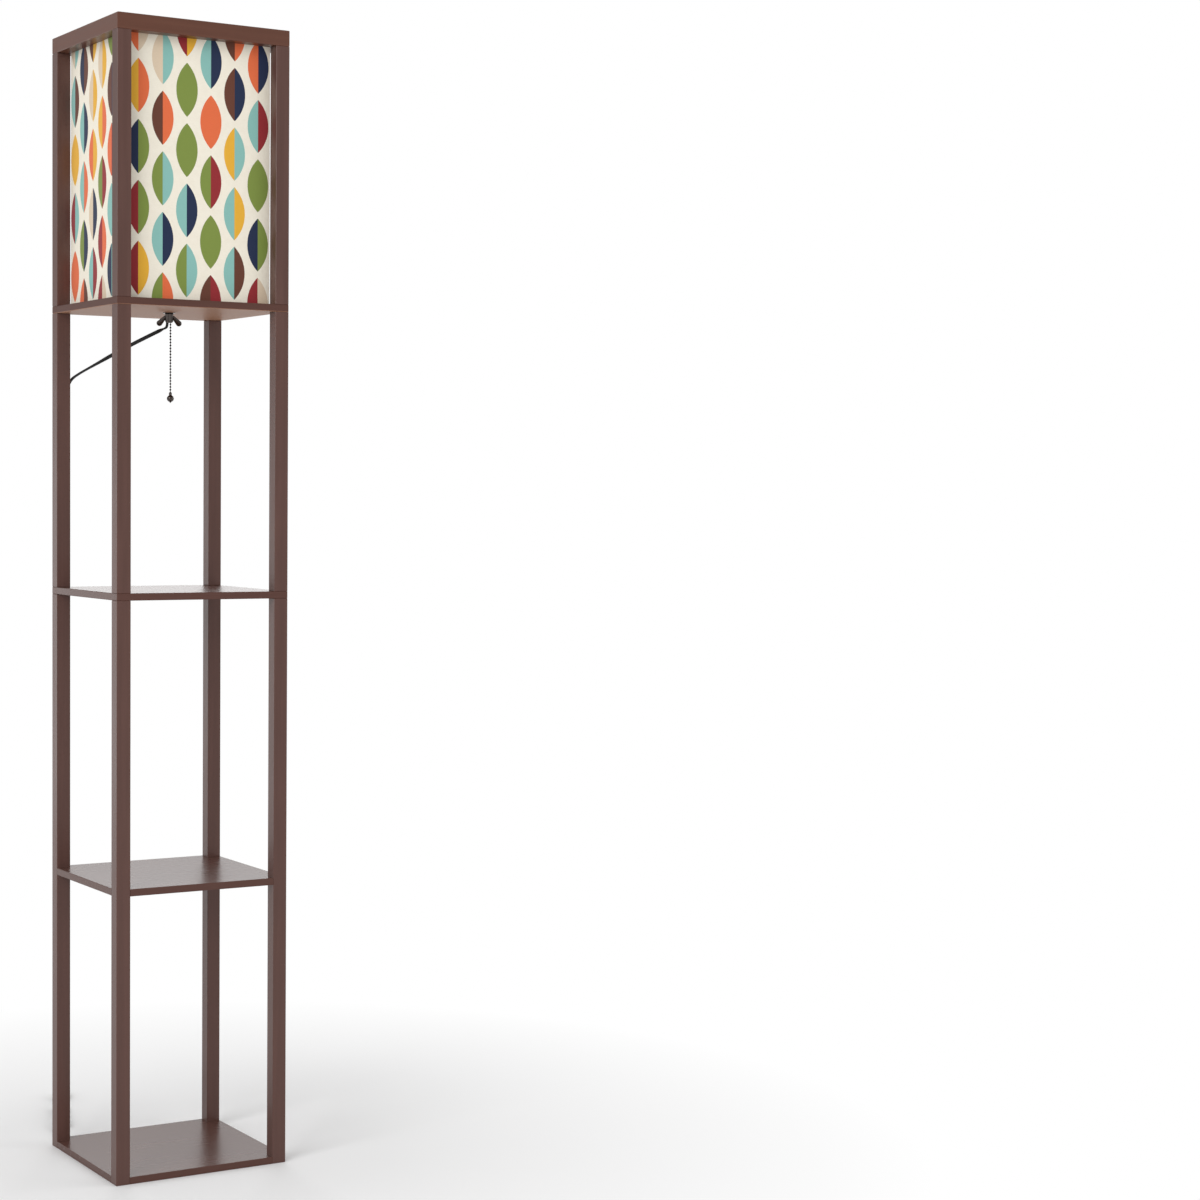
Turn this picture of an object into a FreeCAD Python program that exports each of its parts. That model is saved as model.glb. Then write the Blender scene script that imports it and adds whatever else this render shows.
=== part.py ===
"""Shelf floor lamp: a square tower of painted wood with three open shelves and a fabric shade on top.

Millimetres. The origin is the middle of the footprint on the floor, X runs along the front,
Y to the back and Z up. The lamp holder stands on the middle of the lamp plate, under the shade.
"""
import FreeCAD, Part
import math
import os
from types import SimpleNamespace

import Sketcher
from FreeCAD import Placement, Rotation, Vector

# Driving dimensions, in millimetres, degrees and counts.
SIZES = {
    # tower
    "frame_width": 254.0,
    "frame_depth": 254.0,
    "frame_height": 1600.0,
    "post_side": 20.0,
    "board_thick": 10.0,
    "lower_shelf_z": 399.0,
    "middle_shelf_z": 805.0,
    "lamp_plate_z": 1208.0,
    "rail_height": 22.0,
    "edge_ease": 0.6,
    # dowels and studs that hold the tower together
    "dowel_dia": 6.0,
    "dowel_length": 30.0,
    "stud_dia": 8.0,
    "stud_grip": 20.0,
    "rail_bite": 14.0,
    "glue_gap": 0.1,
    "bore_spare": 1.0,
    # shade
    "shade_gap": 0.3,
    "shade_foot": 0.3,
    "shade_tuck": 12.0,
    "fabric_thick": 0.8,
    "liner_thick": 0.6,
    "frame_wire": 3.0,
    "wire_gap": 0.1,
    "wire_inset": 3.2,
    "wire_bend": 6.0,
    # nipple, washer and nuts
    "nipple_dia": 9.4,
    "nipple_bore": 7.8,
    "nipple_below": 14.0,
    "nipple_above": 12.0,
    "washer_dia": 18.2,
    "washer_thick": 1.2,
    "washer_edge": 0.5,
    "lock_nut_flats": 14.0,
    "lock_nut_thick": 3.0,
    "thread_gap": 0.05,
    # wing nut
    "hub_top_dia": 12.6,
    "hub_foot_dia": 11.2,
    "hub_height": 11.7,
    "wing_thick": 2.4,
    "wing_root_reach": 5.5,
    "wing_root_drop": 5.0,
    "wing_root_radius": 2.7,
    "wing_tip_reach": 13.6,
    "wing_tip_drop": 13.7,
    "wing_tip_radius": 3.9,
    "wing_heading": -21.7,
    "turning_gap": 0.1,
    # lamp holder
    "cap_dia": 35.0,
    "cap_height": 21.0,
    "cap_neck_dia": 14.4,
    "cap_neck_height": 3.0,
    "cap_shoulder": 13.0,
    "cap_dome": 11.0,
    "cap_wall": 1.2,
    "shell_dia": 32.4,
    "shell_wall": 0.7,
    "shell_top": 63.0,
    "shell_overlap": 3.0,
    "shell_lip": 1.4,
    "liner_gap": 0.4,
    "paper_thick": 0.5,
    "insulator_dia": 30.6,
    "insulator_foot": 17.0,
    "insulator_top": 38.0,
    "screw_dia": 27.8,
    "screw_wall": 0.4,
    "screw_height": 22.0,
    "contact_dia": 5.6,
    "contact_thick": 1.4,
    # switch lever
    "lever_reach": 10.0,
    "lever_tip": 2.4,
    "lever_thick": 1.2,
    "lever_width": 3.6,
    "lever_hub": 3.8,
    "lever_swing": 22.92,
    "fork_slot": 1.6,
    "pin_dia": 1.8,
    "pin_length": 11.0,
    "cavity_gap": 0.7,
    # pull chain
    "bead_dia": 2.8,
    "bead_pitch": 4.2,
    "link_dia": 0.9,
    "inner_beads": 11,
    "drop_beads": 24,
    "bead_band": 24.0,
    "chain_offset": 2.1,
    "chain_gap": 0.3,
    "ball_dia": 10.0,
    "ball_drop": 8.1,
    "ferrule_dia": 4.2,
    "ferrule_clasp": 0.4,
    "ferrule_gap": 0.1,
    "ball_point_dia": 2.0,
    "ball_point": 1.4,
    # bulb
    "bulb_seat": 0.3,
    "base_dia": 26.2,
    "base_height": 26.7,
    "base_tip_dia": 9.0,
    "base_cone_dia": 22.0,
    "base_cone_height": 5.2,
    "base_tip_height": 1.4,
    "base_flare": 2.0,
    "glass_dia": 60.0,
    "glass_height": 81.5,
    "glass_neck_dia": 27.2,
    "glass_wall": 1.0,
    # cord, at its exit, on the post, on the floor and in its hank
    "cord_dia": 5.4,
    "lead_thick": 2.8,
    "lead_offset": 1.7,
    "cord_heading": 133.2,
    "relief_offset": 2.9,
    "relief_top_dia": 6.0,
    "relief_end_dia": 5.6,
    "relief_bend": 9.0,
    "relief_turn": 63.55,
    "relief_straight": 16.0,
    "clip_height": 9.0,
    "clip_wall": 1.1,
    "clip_gap": 0.35,
    "clip_foot": 14.0,
    "clip_slit": 2.4,
    "first_clipped_run": 9,
    "runs_per_clip": 3,
    "clips": 3,
    "hank_heading": 70.0,
    "hank_start_x": -92.9,
    "hank_start_y": 211.8,
    "hank_run": 110.0,
    "hank_fold": 9.5,
    "hank_waist": 3.2,
    "hank_layer": 5.9,
    "hank_over": 14.0,
    "hank_exit": 36.0,
    "tie_width": 6.0,
    "tie_thick": 0.9,
    "tie_gap": 0.3,
    "plug_length": 34.0,
    "plug_width": 22.0,
    "plug_height": 14.0,
    "plug_neck": 8.0,
    "plug_shoulder": 14.0,
    "plug_round": 3.0,
    "blade_length": 17.0,
    "blade_width": 6.3,
    "blade_thick": 1.5,
    "blade_space": 12.7,
}

# How far a cutting tool reaches past the piece that it cuts.
OVERCUT = 1.0

# Where the flats inside the bulb's dome meet, in degrees above its widest place.
INNER_DOME_LATITUDES = (60, 30, 0)

# The cord's route from the end of the strain relief to the hank, chosen by hand: down to the
# back left post, round the post's inner edge, down behind it, and out along the floor.
CORD_ROUTE = [
    (-15.2, 16.2, 1178.8), (-32.8, 35.0, 1166.0), (-54.7, 58.3, 1152.0), (-77.3, 82.4, 1135.0),
    (-95.8, 102.1, 1119.0), (-102.0, 119.0, 1108.0), (-103.0, 134.0, 1090.0), (-107.5, 137.0, 1067.0),
    (-111.5, 134.0, 1040.0), (-112.5, 131.6, 1000.0), (-111.4, 131.4, 880.0), (-112.4, 131.9, 745.0),
    (-111.3, 131.4, 605.0), (-112.3, 131.8, 470.0), (-111.5, 131.4, 330.0), (-112.4, 131.8, 195.0),
    (-111.7, 131.4, 85.0), (-112.0, 131.5, 24.7), (-109.3, 139.0, 10.8), (-104.5, 152.2, 2.7),
    (-100.0, 176.1, 2.7), (-98.4, 196.8, 2.7), (-92.9, 211.8, 2.7),
]
# The plan of the tower that the route was drawn on: half its width and half its depth.
ROUTE_PLAN = (127.0, 127.0)

CORNERS = [("front_left", -1, -1), ("front_right", 1, -1), ("back_left", -1, 1), ("back_right", 1, 1)]
UP = Vector(0, 0, 1)


class Formula(float):
    """A size worked out from the sheet, kept with the expression that says how."""

    def __new__(cls, number, text):
        made = super().__new__(cls, number)
        made.text = text
        return made

    def __add__(self, other):
        return Formula(float(self) + float(other), "(%s + %s)" % (self.text, as_text(other)))

    def __sub__(self, other):
        return Formula(float(self) - float(other), "(%s - %s)" % (self.text, as_text(other)))

    def __rsub__(self, other):
        return Formula(float(other) - float(self), "(%s - %s)" % (as_text(other), self.text))

    def __mul__(self, other):
        return Formula(float(self) * float(other), "(%s * %s)" % (self.text, as_text(other)))

    def __truediv__(self, other):
        return Formula(float(self) / float(other), "(%s / %s)" % (self.text, as_text(other)))

    def __neg__(self):
        return Formula(-float(self), "(0 - %s)" % self.text)

    __radd__ = __add__
    __rmul__ = __mul__


def as_text(number):
    """The expression of a formula, or of a plain number."""
    return number.text if isinstance(number, Formula) else "%.9g" % number


def make_sheet():
    """Writes the driving dimensions into the document's sheet and returns them by name."""
    sheet = doc.addObject("Spreadsheet::Sheet", "Sizes")
    for row, (alias, number) in enumerate(SIZES.items(), 1):
        sheet.set("A%d" % row, alias.replace("_", " "))
        sheet.set("B%d" % row, str(number))
        sheet.setAlias("B%d" % row, alias)
    doc.recompute()
    return SimpleNamespace(**{alias: Formula(sheet.get(alias), "Sizes." + alias) for alias in SIZES})


def bind(thing, path, size):
    """Ties a property to the sheet, or sets it where the size is a plain number."""
    if isinstance(size, Formula):
        thing.setExpression(path, size.text)
    else:
        setattr(thing, path, size)


def place(thing, x=0.0, y=0.0, z=0.0, rotation=None):
    """Puts a piece at a place that the sheet decides."""
    thing.Placement = Placement(Vector(x, y, z), rotation or Rotation())
    for axis, size in (("x", x), ("y", y), ("z", z)):
        if isinstance(size, Formula):
            thing.setExpression("Placement.Base." + axis, size.text)
    return thing


# Primitives and booleans

def box(size, corner, rotation=None):
    made = doc.addObject("Part::Box", "Block")
    for path, length in zip(("Length", "Width", "Height"), size):
        bind(made, path, length)
    return place(made, *corner, rotation)


def centred_box(size, middle):
    """A box round the point, which is its middle in X and Y and its foot in Z."""
    return box(size, (middle[0] - size[0] / 2, middle[1] - size[1] / 2, middle[2]))


def cylinder(dia, length, foot, rotation=None):
    made = doc.addObject("Part::Cylinder", "Rod")
    bind(made, "Radius", dia / 2)
    bind(made, "Height", length)
    return place(made, *foot, rotation)


def ball(dia, middle):
    made = doc.addObject("Part::Sphere", "Ball")
    bind(made, "Radius", dia / 2)
    return place(made, *middle)


def cone(foot_dia, top_dia, length, foot):
    made = doc.addObject("Part::Cone", "Taper")
    bind(made, "Radius1", foot_dia / 2)
    bind(made, "Radius2", top_dia / 2)
    bind(made, "Height", length)
    return place(made, *foot)


def group(solids):
    made = doc.addObject("Part::Compound", "Group")
    made.Links = solids
    return made


def fuse(solids):
    made = doc.addObject("Part::MultiFuse", "Union")
    made.Shapes = solids
    return made


def cut(solid, tools):
    made = doc.addObject("Part::Cut", "Cut")
    made.Base = solid
    made.Tool = tools[0] if len(tools) == 1 else group(tools)
    return made


def tube(outer, inner, length, foot):
    """A straight tube on the Z axis."""
    bore_foot = (foot[0], foot[1], foot[2] - OVERCUT)
    return cut(cylinder(outer, length, foot), [cylinder(inner, length + 2 * OVERCUT, bore_foot)])


# Bodies, sketches and their features

def new_body():
    return doc.addObject("PartDesign::Body", "Body")


def body_axis(body, role):
    """One of a body's own axes or planes."""
    return [feature for feature in body.Origin.OriginFeatures if feature.Role == role][0]


def sketch(body, plane="XY_Plane", lift=0.0):
    """A sketch on one of the body's own planes, lifted off it along its normal."""
    made = body.newObject("Sketcher::SketchObject", "Sketch")
    made.AttachmentSupport = [(body_axis(body, plane), "")]
    made.MapMode = "FlatFace"
    made.AttachmentOffset = Placement(Vector(0, 0, lift), Rotation())
    if isinstance(lift, Formula):
        made.setExpression("AttachmentOffset.Base.z", lift.text)
    return made


def hold(profile, number, end, x, y):
    """Fixes a point of a sketch; a plain zero puts it on the axis."""
    for kind, axis, size in (("DistanceX", -2, x), ("DistanceY", -1, y)):
        if not isinstance(size, Formula) and size == 0:
            profile.addConstraint(Sketcher.Constraint("PointOnObject", number, end, axis))
            continue
        index = profile.addConstraint(Sketcher.Constraint(kind, -1, 1, number, end, float(size)))
        if isinstance(size, Formula):
            profile.setExpression("Constraints[%d]" % index, size.text)


def hold_radius(profile, number, radius):
    index = profile.addConstraint(Sketcher.Constraint("Radius", number, float(radius)))
    if isinstance(radius, Formula):
        profile.setExpression("Constraints[%d]" % index, radius.text)


def ccw(x, y, radius):
    """A corner that an arc of this radius reaches, turning counterclockwise."""
    return (x, y, radius, 1)


def cw(x, y, radius):
    """A corner that an arc of this radius reaches, turning clockwise."""
    return (x, y, radius, -1)


def outline(profile, corners):
    """Draws a closed outline through the corners; ccw() and cw() bend the side that ends there."""
    first = profile.GeometryCount
    ends = []
    for here, corner in enumerate(corners):
        start, stop = Vector(*corners[here - 1][:2], 0), Vector(*corner[:2], 0)
        if len(corner) == 2:
            number = profile.addGeometry(Part.LineSegment(start, stop), False)
            ends.append((number, 1, 2))
            continue
        radius, turn = corner[2:]
        chord = stop - start
        to_middle = math.sqrt(max(float(radius) ** 2 - chord.Length ** 2 / 4, 0))
        side = Vector(-chord.y, chord.x, 0).normalize() * turn
        middle = (start + stop) * 0.5 + side * to_middle
        angles = [math.atan2(point.y - middle.y, point.x - middle.x) for point in (start, stop)]
        arc = Part.ArcOfCircle(Part.Circle(middle, UP, float(radius)), *angles[::turn])
        number = profile.addGeometry(arc, False)
        ends.append((number, 1, 2) if turn > 0 else (number, 2, 1))
        hold_radius(profile, number, radius)
    for here, (number, _, end) in enumerate(ends):
        following = ends[(here + 1) % len(ends)]
        profile.addConstraint(Sketcher.Constraint("Coincident", number, end, following[0], following[1]))
        hold(profile, number, end, *corners[here][:2])
    return first


def circle(profile, dia, x=0.0, y=0.0):
    number = profile.addGeometry(Part.Circle(Vector(x, y, 0), UP, float(dia) / 2), False)
    hold(profile, number, 3, x, y)
    hold_radius(profile, number, dia / 2)


def rectangle(profile, width, depth, x=0.0, y=0.0):
    across, along = width / 2, depth / 2
    outline(profile, [(x - across, y - along), (x + across, y - along),
                      (x + across, y + along), (x - across, y + along)])


def octagon(profile, dia, x=0.0, y=0.0):
    """An octagon whose corners stand on a circle."""
    turns = [math.radians(45 * corner) for corner in range(8)]
    outline(profile, [(dia / 2 * math.cos(turn) + x, dia / 2 * math.sin(turn) + y) for turn in turns])


def round_rectangle(profile, width, depth, bend, x=0.0, y=0.0):
    across, along = width / 2, depth / 2
    outline(profile, [
        ccw(x - across + bend, y - along, bend), (x + across - bend, y - along),
        ccw(x + across, y - along + bend, bend), (x + across, y + along - bend),
        ccw(x + across - bend, y + along, bend), (x - across + bend, y + along),
        ccw(x - across, y + along - bend, bend), (x - across, y - along + bend)])


def pad(body, profile, length, side="One side"):
    made = body.newObject("PartDesign::Pad", "Pad")
    made.Profile = profile
    made.SideType = side
    bind(made, "Length", length)
    return made


def pocket(body, profile, length, side="One side"):
    """Cuts against the sketch's normal, or to both sides of it."""
    made = body.newObject("PartDesign::Pocket", "Pocket")
    made.Profile = profile
    made.SideType = side
    bind(made, "Length", length)
    return made


def revolve(body, profile):
    """Turns a profile, drawn as radius and height, about the body's Z axis."""
    made = body.newObject("PartDesign::Revolution", "Revolution")
    made.Profile = profile
    made.ReferenceAxis = (profile, ["V_Axis"])
    made.Angle = 360
    return made


def loft(body, sections):
    """Straight-sided, from each section to the next."""
    made = body.newObject("PartDesign::AdditiveLoft", "Loft")
    made.Profile = sections[0]
    made.Sections = sections[1:]
    made.Ruled = True
    return made


def chamfer_all(body, feature, size):
    made = body.newObject("PartDesign::Chamfer", "Chamfer")
    made.Base = (feature, ["Edge1"])
    made.UseAllEdges = True
    bind(made, "Size", size)
    return made


def turned(corners, z=0.0, rotation=None):
    """A body turned on the Z axis from a profile of (radius, height) corners."""
    body = new_body()
    profile = sketch(body, "XZ_Plane")
    outline(profile, corners)
    revolve(body, profile)
    return place(body, 0.0, 0.0, z, rotation)


pieces = {}


def keep(label, thing):
    """Registers a sub-part under the name of its node."""
    thing.Label = label
    pieces[label] = thing


def put_shape(label, shape, placement=None):
    """Keeps a shape that is worked out here rather than by a feature."""
    made = doc.addObject("Part::Feature", "Form")
    made.Shape = shape
    if placement:
        made.Placement = placement
    keep(label, made)
    return made


# The tower

def post_centre(side_x, side_y):
    return side_x * (d.frame_width - d.post_side) / 2, side_y * (d.frame_depth - d.post_side) / 2


def board_dowels(z, dia, length):
    """Rods along Y, one at each corner, half in the post and half in the notched board."""
    rods = []
    for _, side_x, side_y in CORNERS:
        x = post_centre(side_x, side_y)[0]
        joint = side_y * (d.frame_depth / 2 - d.post_side)
        foot = (x, joint - length / 2, z + d.board_thick / 2)
        rods.append(cylinder(dia, length, foot, Rotation(Vector(1, 0, 0), -90)))
    return rods


def upright_rods(z, dia, length):
    """Rods along Z at the posts' centres."""
    return [cylinder(dia, length, (*post_centre(side_x, side_y), z)) for _, side_x, side_y in CORNERS]


def pins_and_bores():
    """Makes the dowels and studs, and returns the bores that they sit in, joint by joint."""
    bores = {}
    slack = 2 * d.glue_gap
    for label, z in (("base_dowels", 0.0), ("lower_shelf_dowels", d.lower_shelf_z)):
        keep(label, group(board_dowels(z, d.dowel_dia, d.dowel_length)))
        bores[label] = group(board_dowels(z, d.dowel_dia + slack, d.dowel_length + 2 * d.bore_spare))
    for label, board_z in (("middle_studs", d.middle_shelf_z), ("lamp_plate_studs", d.lamp_plate_z)):
        foot, length = board_z - d.stud_grip, d.board_thick + 2 * d.stud_grip
        keep(label, group(upright_rods(foot, d.stud_dia, length)))
        bores[label] = group(upright_rods(foot - d.bore_spare, d.stud_dia + slack,
                                          length + 2 * d.bore_spare))
    foot, length = rail_z - d.stud_grip, d.stud_grip + d.rail_bite
    keep("rail_dowels", group(upright_rods(foot, d.dowel_dia, length)))
    bores["rail_dowels"] = group(upright_rods(foot - d.bore_spare, d.dowel_dia + slack,
                                              length + 2 * d.bore_spare))
    return bores


def eased_board(z):
    body = new_body()
    profile = sketch(body)
    rectangle(profile, d.frame_width, d.frame_depth)
    chamfer_all(body, pad(body, profile, d.board_thick), d.edge_ease)
    return place(body, 0.0, 0.0, z)


def notches(z):
    """The square corners of a board that the posts pass through."""
    across = d.post_side + OVERCUT
    blocks = []
    for _, side_x, side_y in CORNERS:
        x, y = post_centre(side_x, side_y)
        middle = (x + side_x * OVERCUT / 2, y + side_y * OVERCUT / 2, z - OVERCUT)
        blocks.append(centred_box((across, across, d.board_thick + 2 * OVERCUT), middle))
    return blocks


def boards(bores):
    for label, z in (("base", 0.0), ("lower_shelf", d.lower_shelf_z)):
        name = label + "_board" if label == "base" else label
        keep(name, cut(eased_board(z), notches(z) + [bores[label + "_dowels"]]))
    keep("middle_shelf", cut(eased_board(d.middle_shelf_z), [bores["middle_studs"]]))
    hole = cylinder(d.nipple_dia + 2 * d.glue_gap, d.board_thick + 2 * OVERCUT,
                    (0.0, 0.0, d.lamp_plate_z - OVERCUT))
    keep("lamp_plate", cut(eased_board(d.lamp_plate_z), [bores["lamp_plate_studs"], hole]))


def posts(bores):
    """Three tiers of four posts, each between the board below it and the board or rail above."""
    tiers = [
        ("lower_post", 0.0, d.middle_shelf_z, ("base_dowels", "lower_shelf_dowels", "middle_studs")),
        ("upper_post", d.middle_shelf_z + d.board_thick, d.lamp_plate_z,
         ("middle_studs", "lamp_plate_studs")),
        ("shade_post", plate_top, rail_z, ("lamp_plate_studs", "rail_dowels")),
    ]
    for tier, foot, top, joints in tiers:
        for corner, side_x, side_y in CORNERS:
            body = new_body()
            profile = sketch(body)
            rectangle(profile, d.post_side, d.post_side)
            chamfer_all(body, pad(body, profile, top - foot), d.edge_ease)
            place(body, *post_centre(side_x, side_y), foot)
            keep("%s_%s" % (tier, corner), cut(body, [bores[joint] for joint in joints]))


def top_rails(bores):
    """Four rails round the top, mitred where they meet over the posts."""
    out_x, out_y = d.frame_width / 2, d.frame_depth / 2
    in_x, in_y = out_x - d.post_side, out_y - d.post_side
    ends = {
        "front": [(-out_x, -out_y), (out_x, -out_y), (in_x, -in_y), (-in_x, -in_y)],
        "back": [(-in_x, in_y), (in_x, in_y), (out_x, out_y), (-out_x, out_y)],
        "left": [(-out_x, out_y), (-out_x, -out_y), (-in_x, -in_y), (-in_x, in_y)],
        "right": [(in_x, -in_y), (out_x, -out_y), (out_x, out_y), (in_x, in_y)],
    }
    for side, corners in ends.items():
        body = new_body()
        profile = sketch(body)
        outline(profile, corners)
        chamfer_all(body, pad(body, profile, d.rail_height), d.edge_ease)
        place(body, 0.0, 0.0, rail_z)
        keep("top_rail_" + side, cut(body, [bores["rail_dowels"]]))


# The shade

def shade():
    """A four-sided sleeve of fabric on a stiff liner, with a wire square in each hem."""
    foot = plate_top + d.shade_foot
    rise = rail_z + d.shade_tuck - foot
    width = d.frame_width - 2 * (d.post_side + d.shade_gap)
    depth = d.frame_depth - 2 * (d.post_side + d.shade_gap)
    for label, thick in (("shade_fabric", d.fabric_thick), ("shade_liner", d.liner_thick)):
        body = new_body()
        profile = sketch(body)
        rectangle(profile, width, depth)
        width, depth = width - 2 * thick, depth - 2 * thick
        rectangle(profile, width, depth)
        pad(body, profile, rise)
        keep(label, place(body, 0.0, 0.0, foot))
    out_x = width - 2 * d.wire_gap - d.frame_wire
    out_y = depth - 2 * d.wire_gap - d.frame_wire
    for label, z in (("shade_bottom_frame", foot + d.wire_inset),
                     ("shade_top_frame", foot + rise - d.wire_inset)):
        body = new_body()
        spine = sketch(body)
        round_rectangle(spine, out_x, out_y, d.wire_bend)
        section = sketch(body, "YZ_Plane")
        octagon(section, d.frame_wire, -out_y / 2)
        pipe = body.newObject("PartDesign::AdditivePipe", "Pipe")
        pipe.Profile = section
        pipe.Spine = spine
        keep(label, place(body, 0.0, 0.0, z))


# Nipple, washer and nuts

def fasteners():
    keep("nipple", tube(d.nipple_dia, d.nipple_bore, d.nipple_below + d.board_thick + d.nipple_above,
                        (0.0, 0.0, mouth_z)))
    snug = d.nipple_dia / 2 + d.thread_gap
    rim = d.washer_dia / 2
    keep("washer", turned([(snug, -d.washer_thick), (d.hub_top_dia / 2, -d.washer_thick),
                           (rim, -d.washer_edge), (rim, 0.0), (snug, 0.0)], d.lamp_plate_z))
    prism = doc.addObject("Part::Prism", "Hexagon")
    prism.Polygon = 6
    bind(prism, "Circumradius", d.lock_nut_flats / math.sqrt(3))
    bind(prism, "Height", d.lock_nut_thick)
    place(prism, 0.0, 0.0, plate_top)
    bore = cylinder(2 * snug, d.lock_nut_thick + 2 * OVERCUT, (0.0, 0.0, plate_top - OVERCUT))
    keep("lock_nut", cut(prism, [bore]))


def capsule(profile, root, tip):
    """The outline round two circles, each (x, y, radius), and the two lines that touch both."""
    span = Vector(tip[0] - root[0], tip[1] - root[1], 0)
    lean = math.acos((root[2] - tip[2]) / span.Length)
    heading = math.atan2(span.y, span.x)
    arcs = []
    for end, (low, high) in ((root, (heading + lean, heading - lean + 2 * math.pi)),
                             (tip, (heading - lean, heading + lean))):
        rim = Part.Circle(Vector(end[0], end[1], 0), UP, float(end[2]))
        number = profile.addGeometry(Part.ArcOfCircle(rim, low, high), False)
        hold(profile, number, 3, end[0], end[1])
        hold_radius(profile, number, end[2])
        arcs.append((number, rim, low, high))
    for here, after in ((arcs[0], arcs[1]), (arcs[1], arcs[0])):
        number, rim, _, high = here
        next_number, next_rim, next_low, _ = after
        side = Part.LineSegment(rim.value(high), next_rim.value(next_low))
        line = profile.addGeometry(side, False)
        profile.addConstraint(Sketcher.Constraint("Tangent", line, 1, number, 2))
        profile.addConstraint(Sketcher.Constraint("Tangent", line, 2, next_number, 1))


def wing_nut():
    """A tapering hub with two wings that droop outwards, bored for the nipple."""
    body = new_body()
    hub = sketch(body, "XZ_Plane")
    outline(hub, [(0.0, -d.hub_height), (d.hub_foot_dia / 2, -d.hub_height),
                  (d.hub_top_dia / 2, 0.0), (0.0, 0.0)])
    revolve(body, hub)
    wing = sketch(body, "XZ_Plane")
    capsule(wing, (d.wing_root_reach, -d.wing_root_drop, d.wing_root_radius),
            (d.wing_tip_reach, -d.wing_tip_drop, d.wing_tip_radius))
    blade = pad(body, wing, d.wing_thick, "Symmetric")
    pair = body.newObject("PartDesign::PolarPattern", "Pair")
    pair.Originals = [blade]
    pair.Axis = (body_axis(body, "Z_Axis"), [""])
    pair.Angle = 360
    pair.Occurrences = 2
    body.Tip = pair
    bore = sketch(body)
    circle(bore, d.nipple_dia + 2 * d.turning_gap)
    pocket(body, bore, 2 * (d.hub_height + OVERCUT), "Symmetric")
    top = d.lamp_plate_z - d.washer_thick - d.turning_gap
    keep("wing_nut", place(body, 0.0, 0.0, top, Rotation(UP, d.wing_heading)))


# The lamp holder; heights in it are above the lamp plate

def holder_shells():
    snug = d.nipple_dia / 2 + d.thread_gap
    neck, rim = d.cap_neck_dia / 2, d.cap_dia / 2
    foot = d.lock_nut_thick
    floor = foot + d.cap_neck_height + d.cap_wall * 2
    keep("socket_cap", turned([
        (snug, foot), (neck, foot), (neck, foot + d.cap_neck_height),
        ccw(rim, foot + d.cap_shoulder, d.cap_dome), (rim, foot + d.cap_height),
        (rim - d.cap_wall, foot + d.cap_height), (rim - d.cap_wall, foot + d.cap_shoulder),
        (neck, floor), (snug, floor)], plate_top))
    outer, inner = d.shell_dia / 2, d.shell_dia / 2 - d.shell_wall
    low = foot + d.cap_height - d.shell_overlap
    lip = d.shell_top - d.shell_lip
    keep("socket_shell", turned([
        (inner, low), (outer, low), (outer, lip), (outer + d.shell_lip, d.shell_top),
        (inner + d.shell_lip, d.shell_top), (inner, lip)], plate_top))
    paper = d.screw_dia + 2 * (d.screw_wall + d.liner_gap)
    keep("socket_liner", tube(paper + 2 * d.paper_thick, paper, d.screw_height + d.liner_gap,
                              (0.0, 0.0, plate_top + d.insulator_top)))
    thread, bottom, top = d.screw_dia / 2, d.insulator_top, d.insulator_top + d.screw_height
    eye = d.contact_dia / 2 + d.liner_gap
    keep("screw_shell", turned([
        (eye, bottom), (thread + d.screw_wall, bottom), (thread + d.screw_wall, top), (thread, top),
        (thread, bottom + d.screw_wall), (eye, bottom + d.screw_wall)], plate_top))
    keep("centre_contact", cylinder(d.contact_dia, d.contact_thick, (0.0, 0.0, plate_top + d.insulator_top)))


def along_cord(s, side, z):
    """A point in the plane that the cord leaves in: s towards the post, side across it."""
    heading = math.radians(d.cord_heading)
    forward = Vector(math.cos(heading), math.sin(heading), 0)
    across = Vector(math.sin(heading), -math.cos(heading), 0)
    return forward * s + across * side + Vector(0, 0, z)


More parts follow.
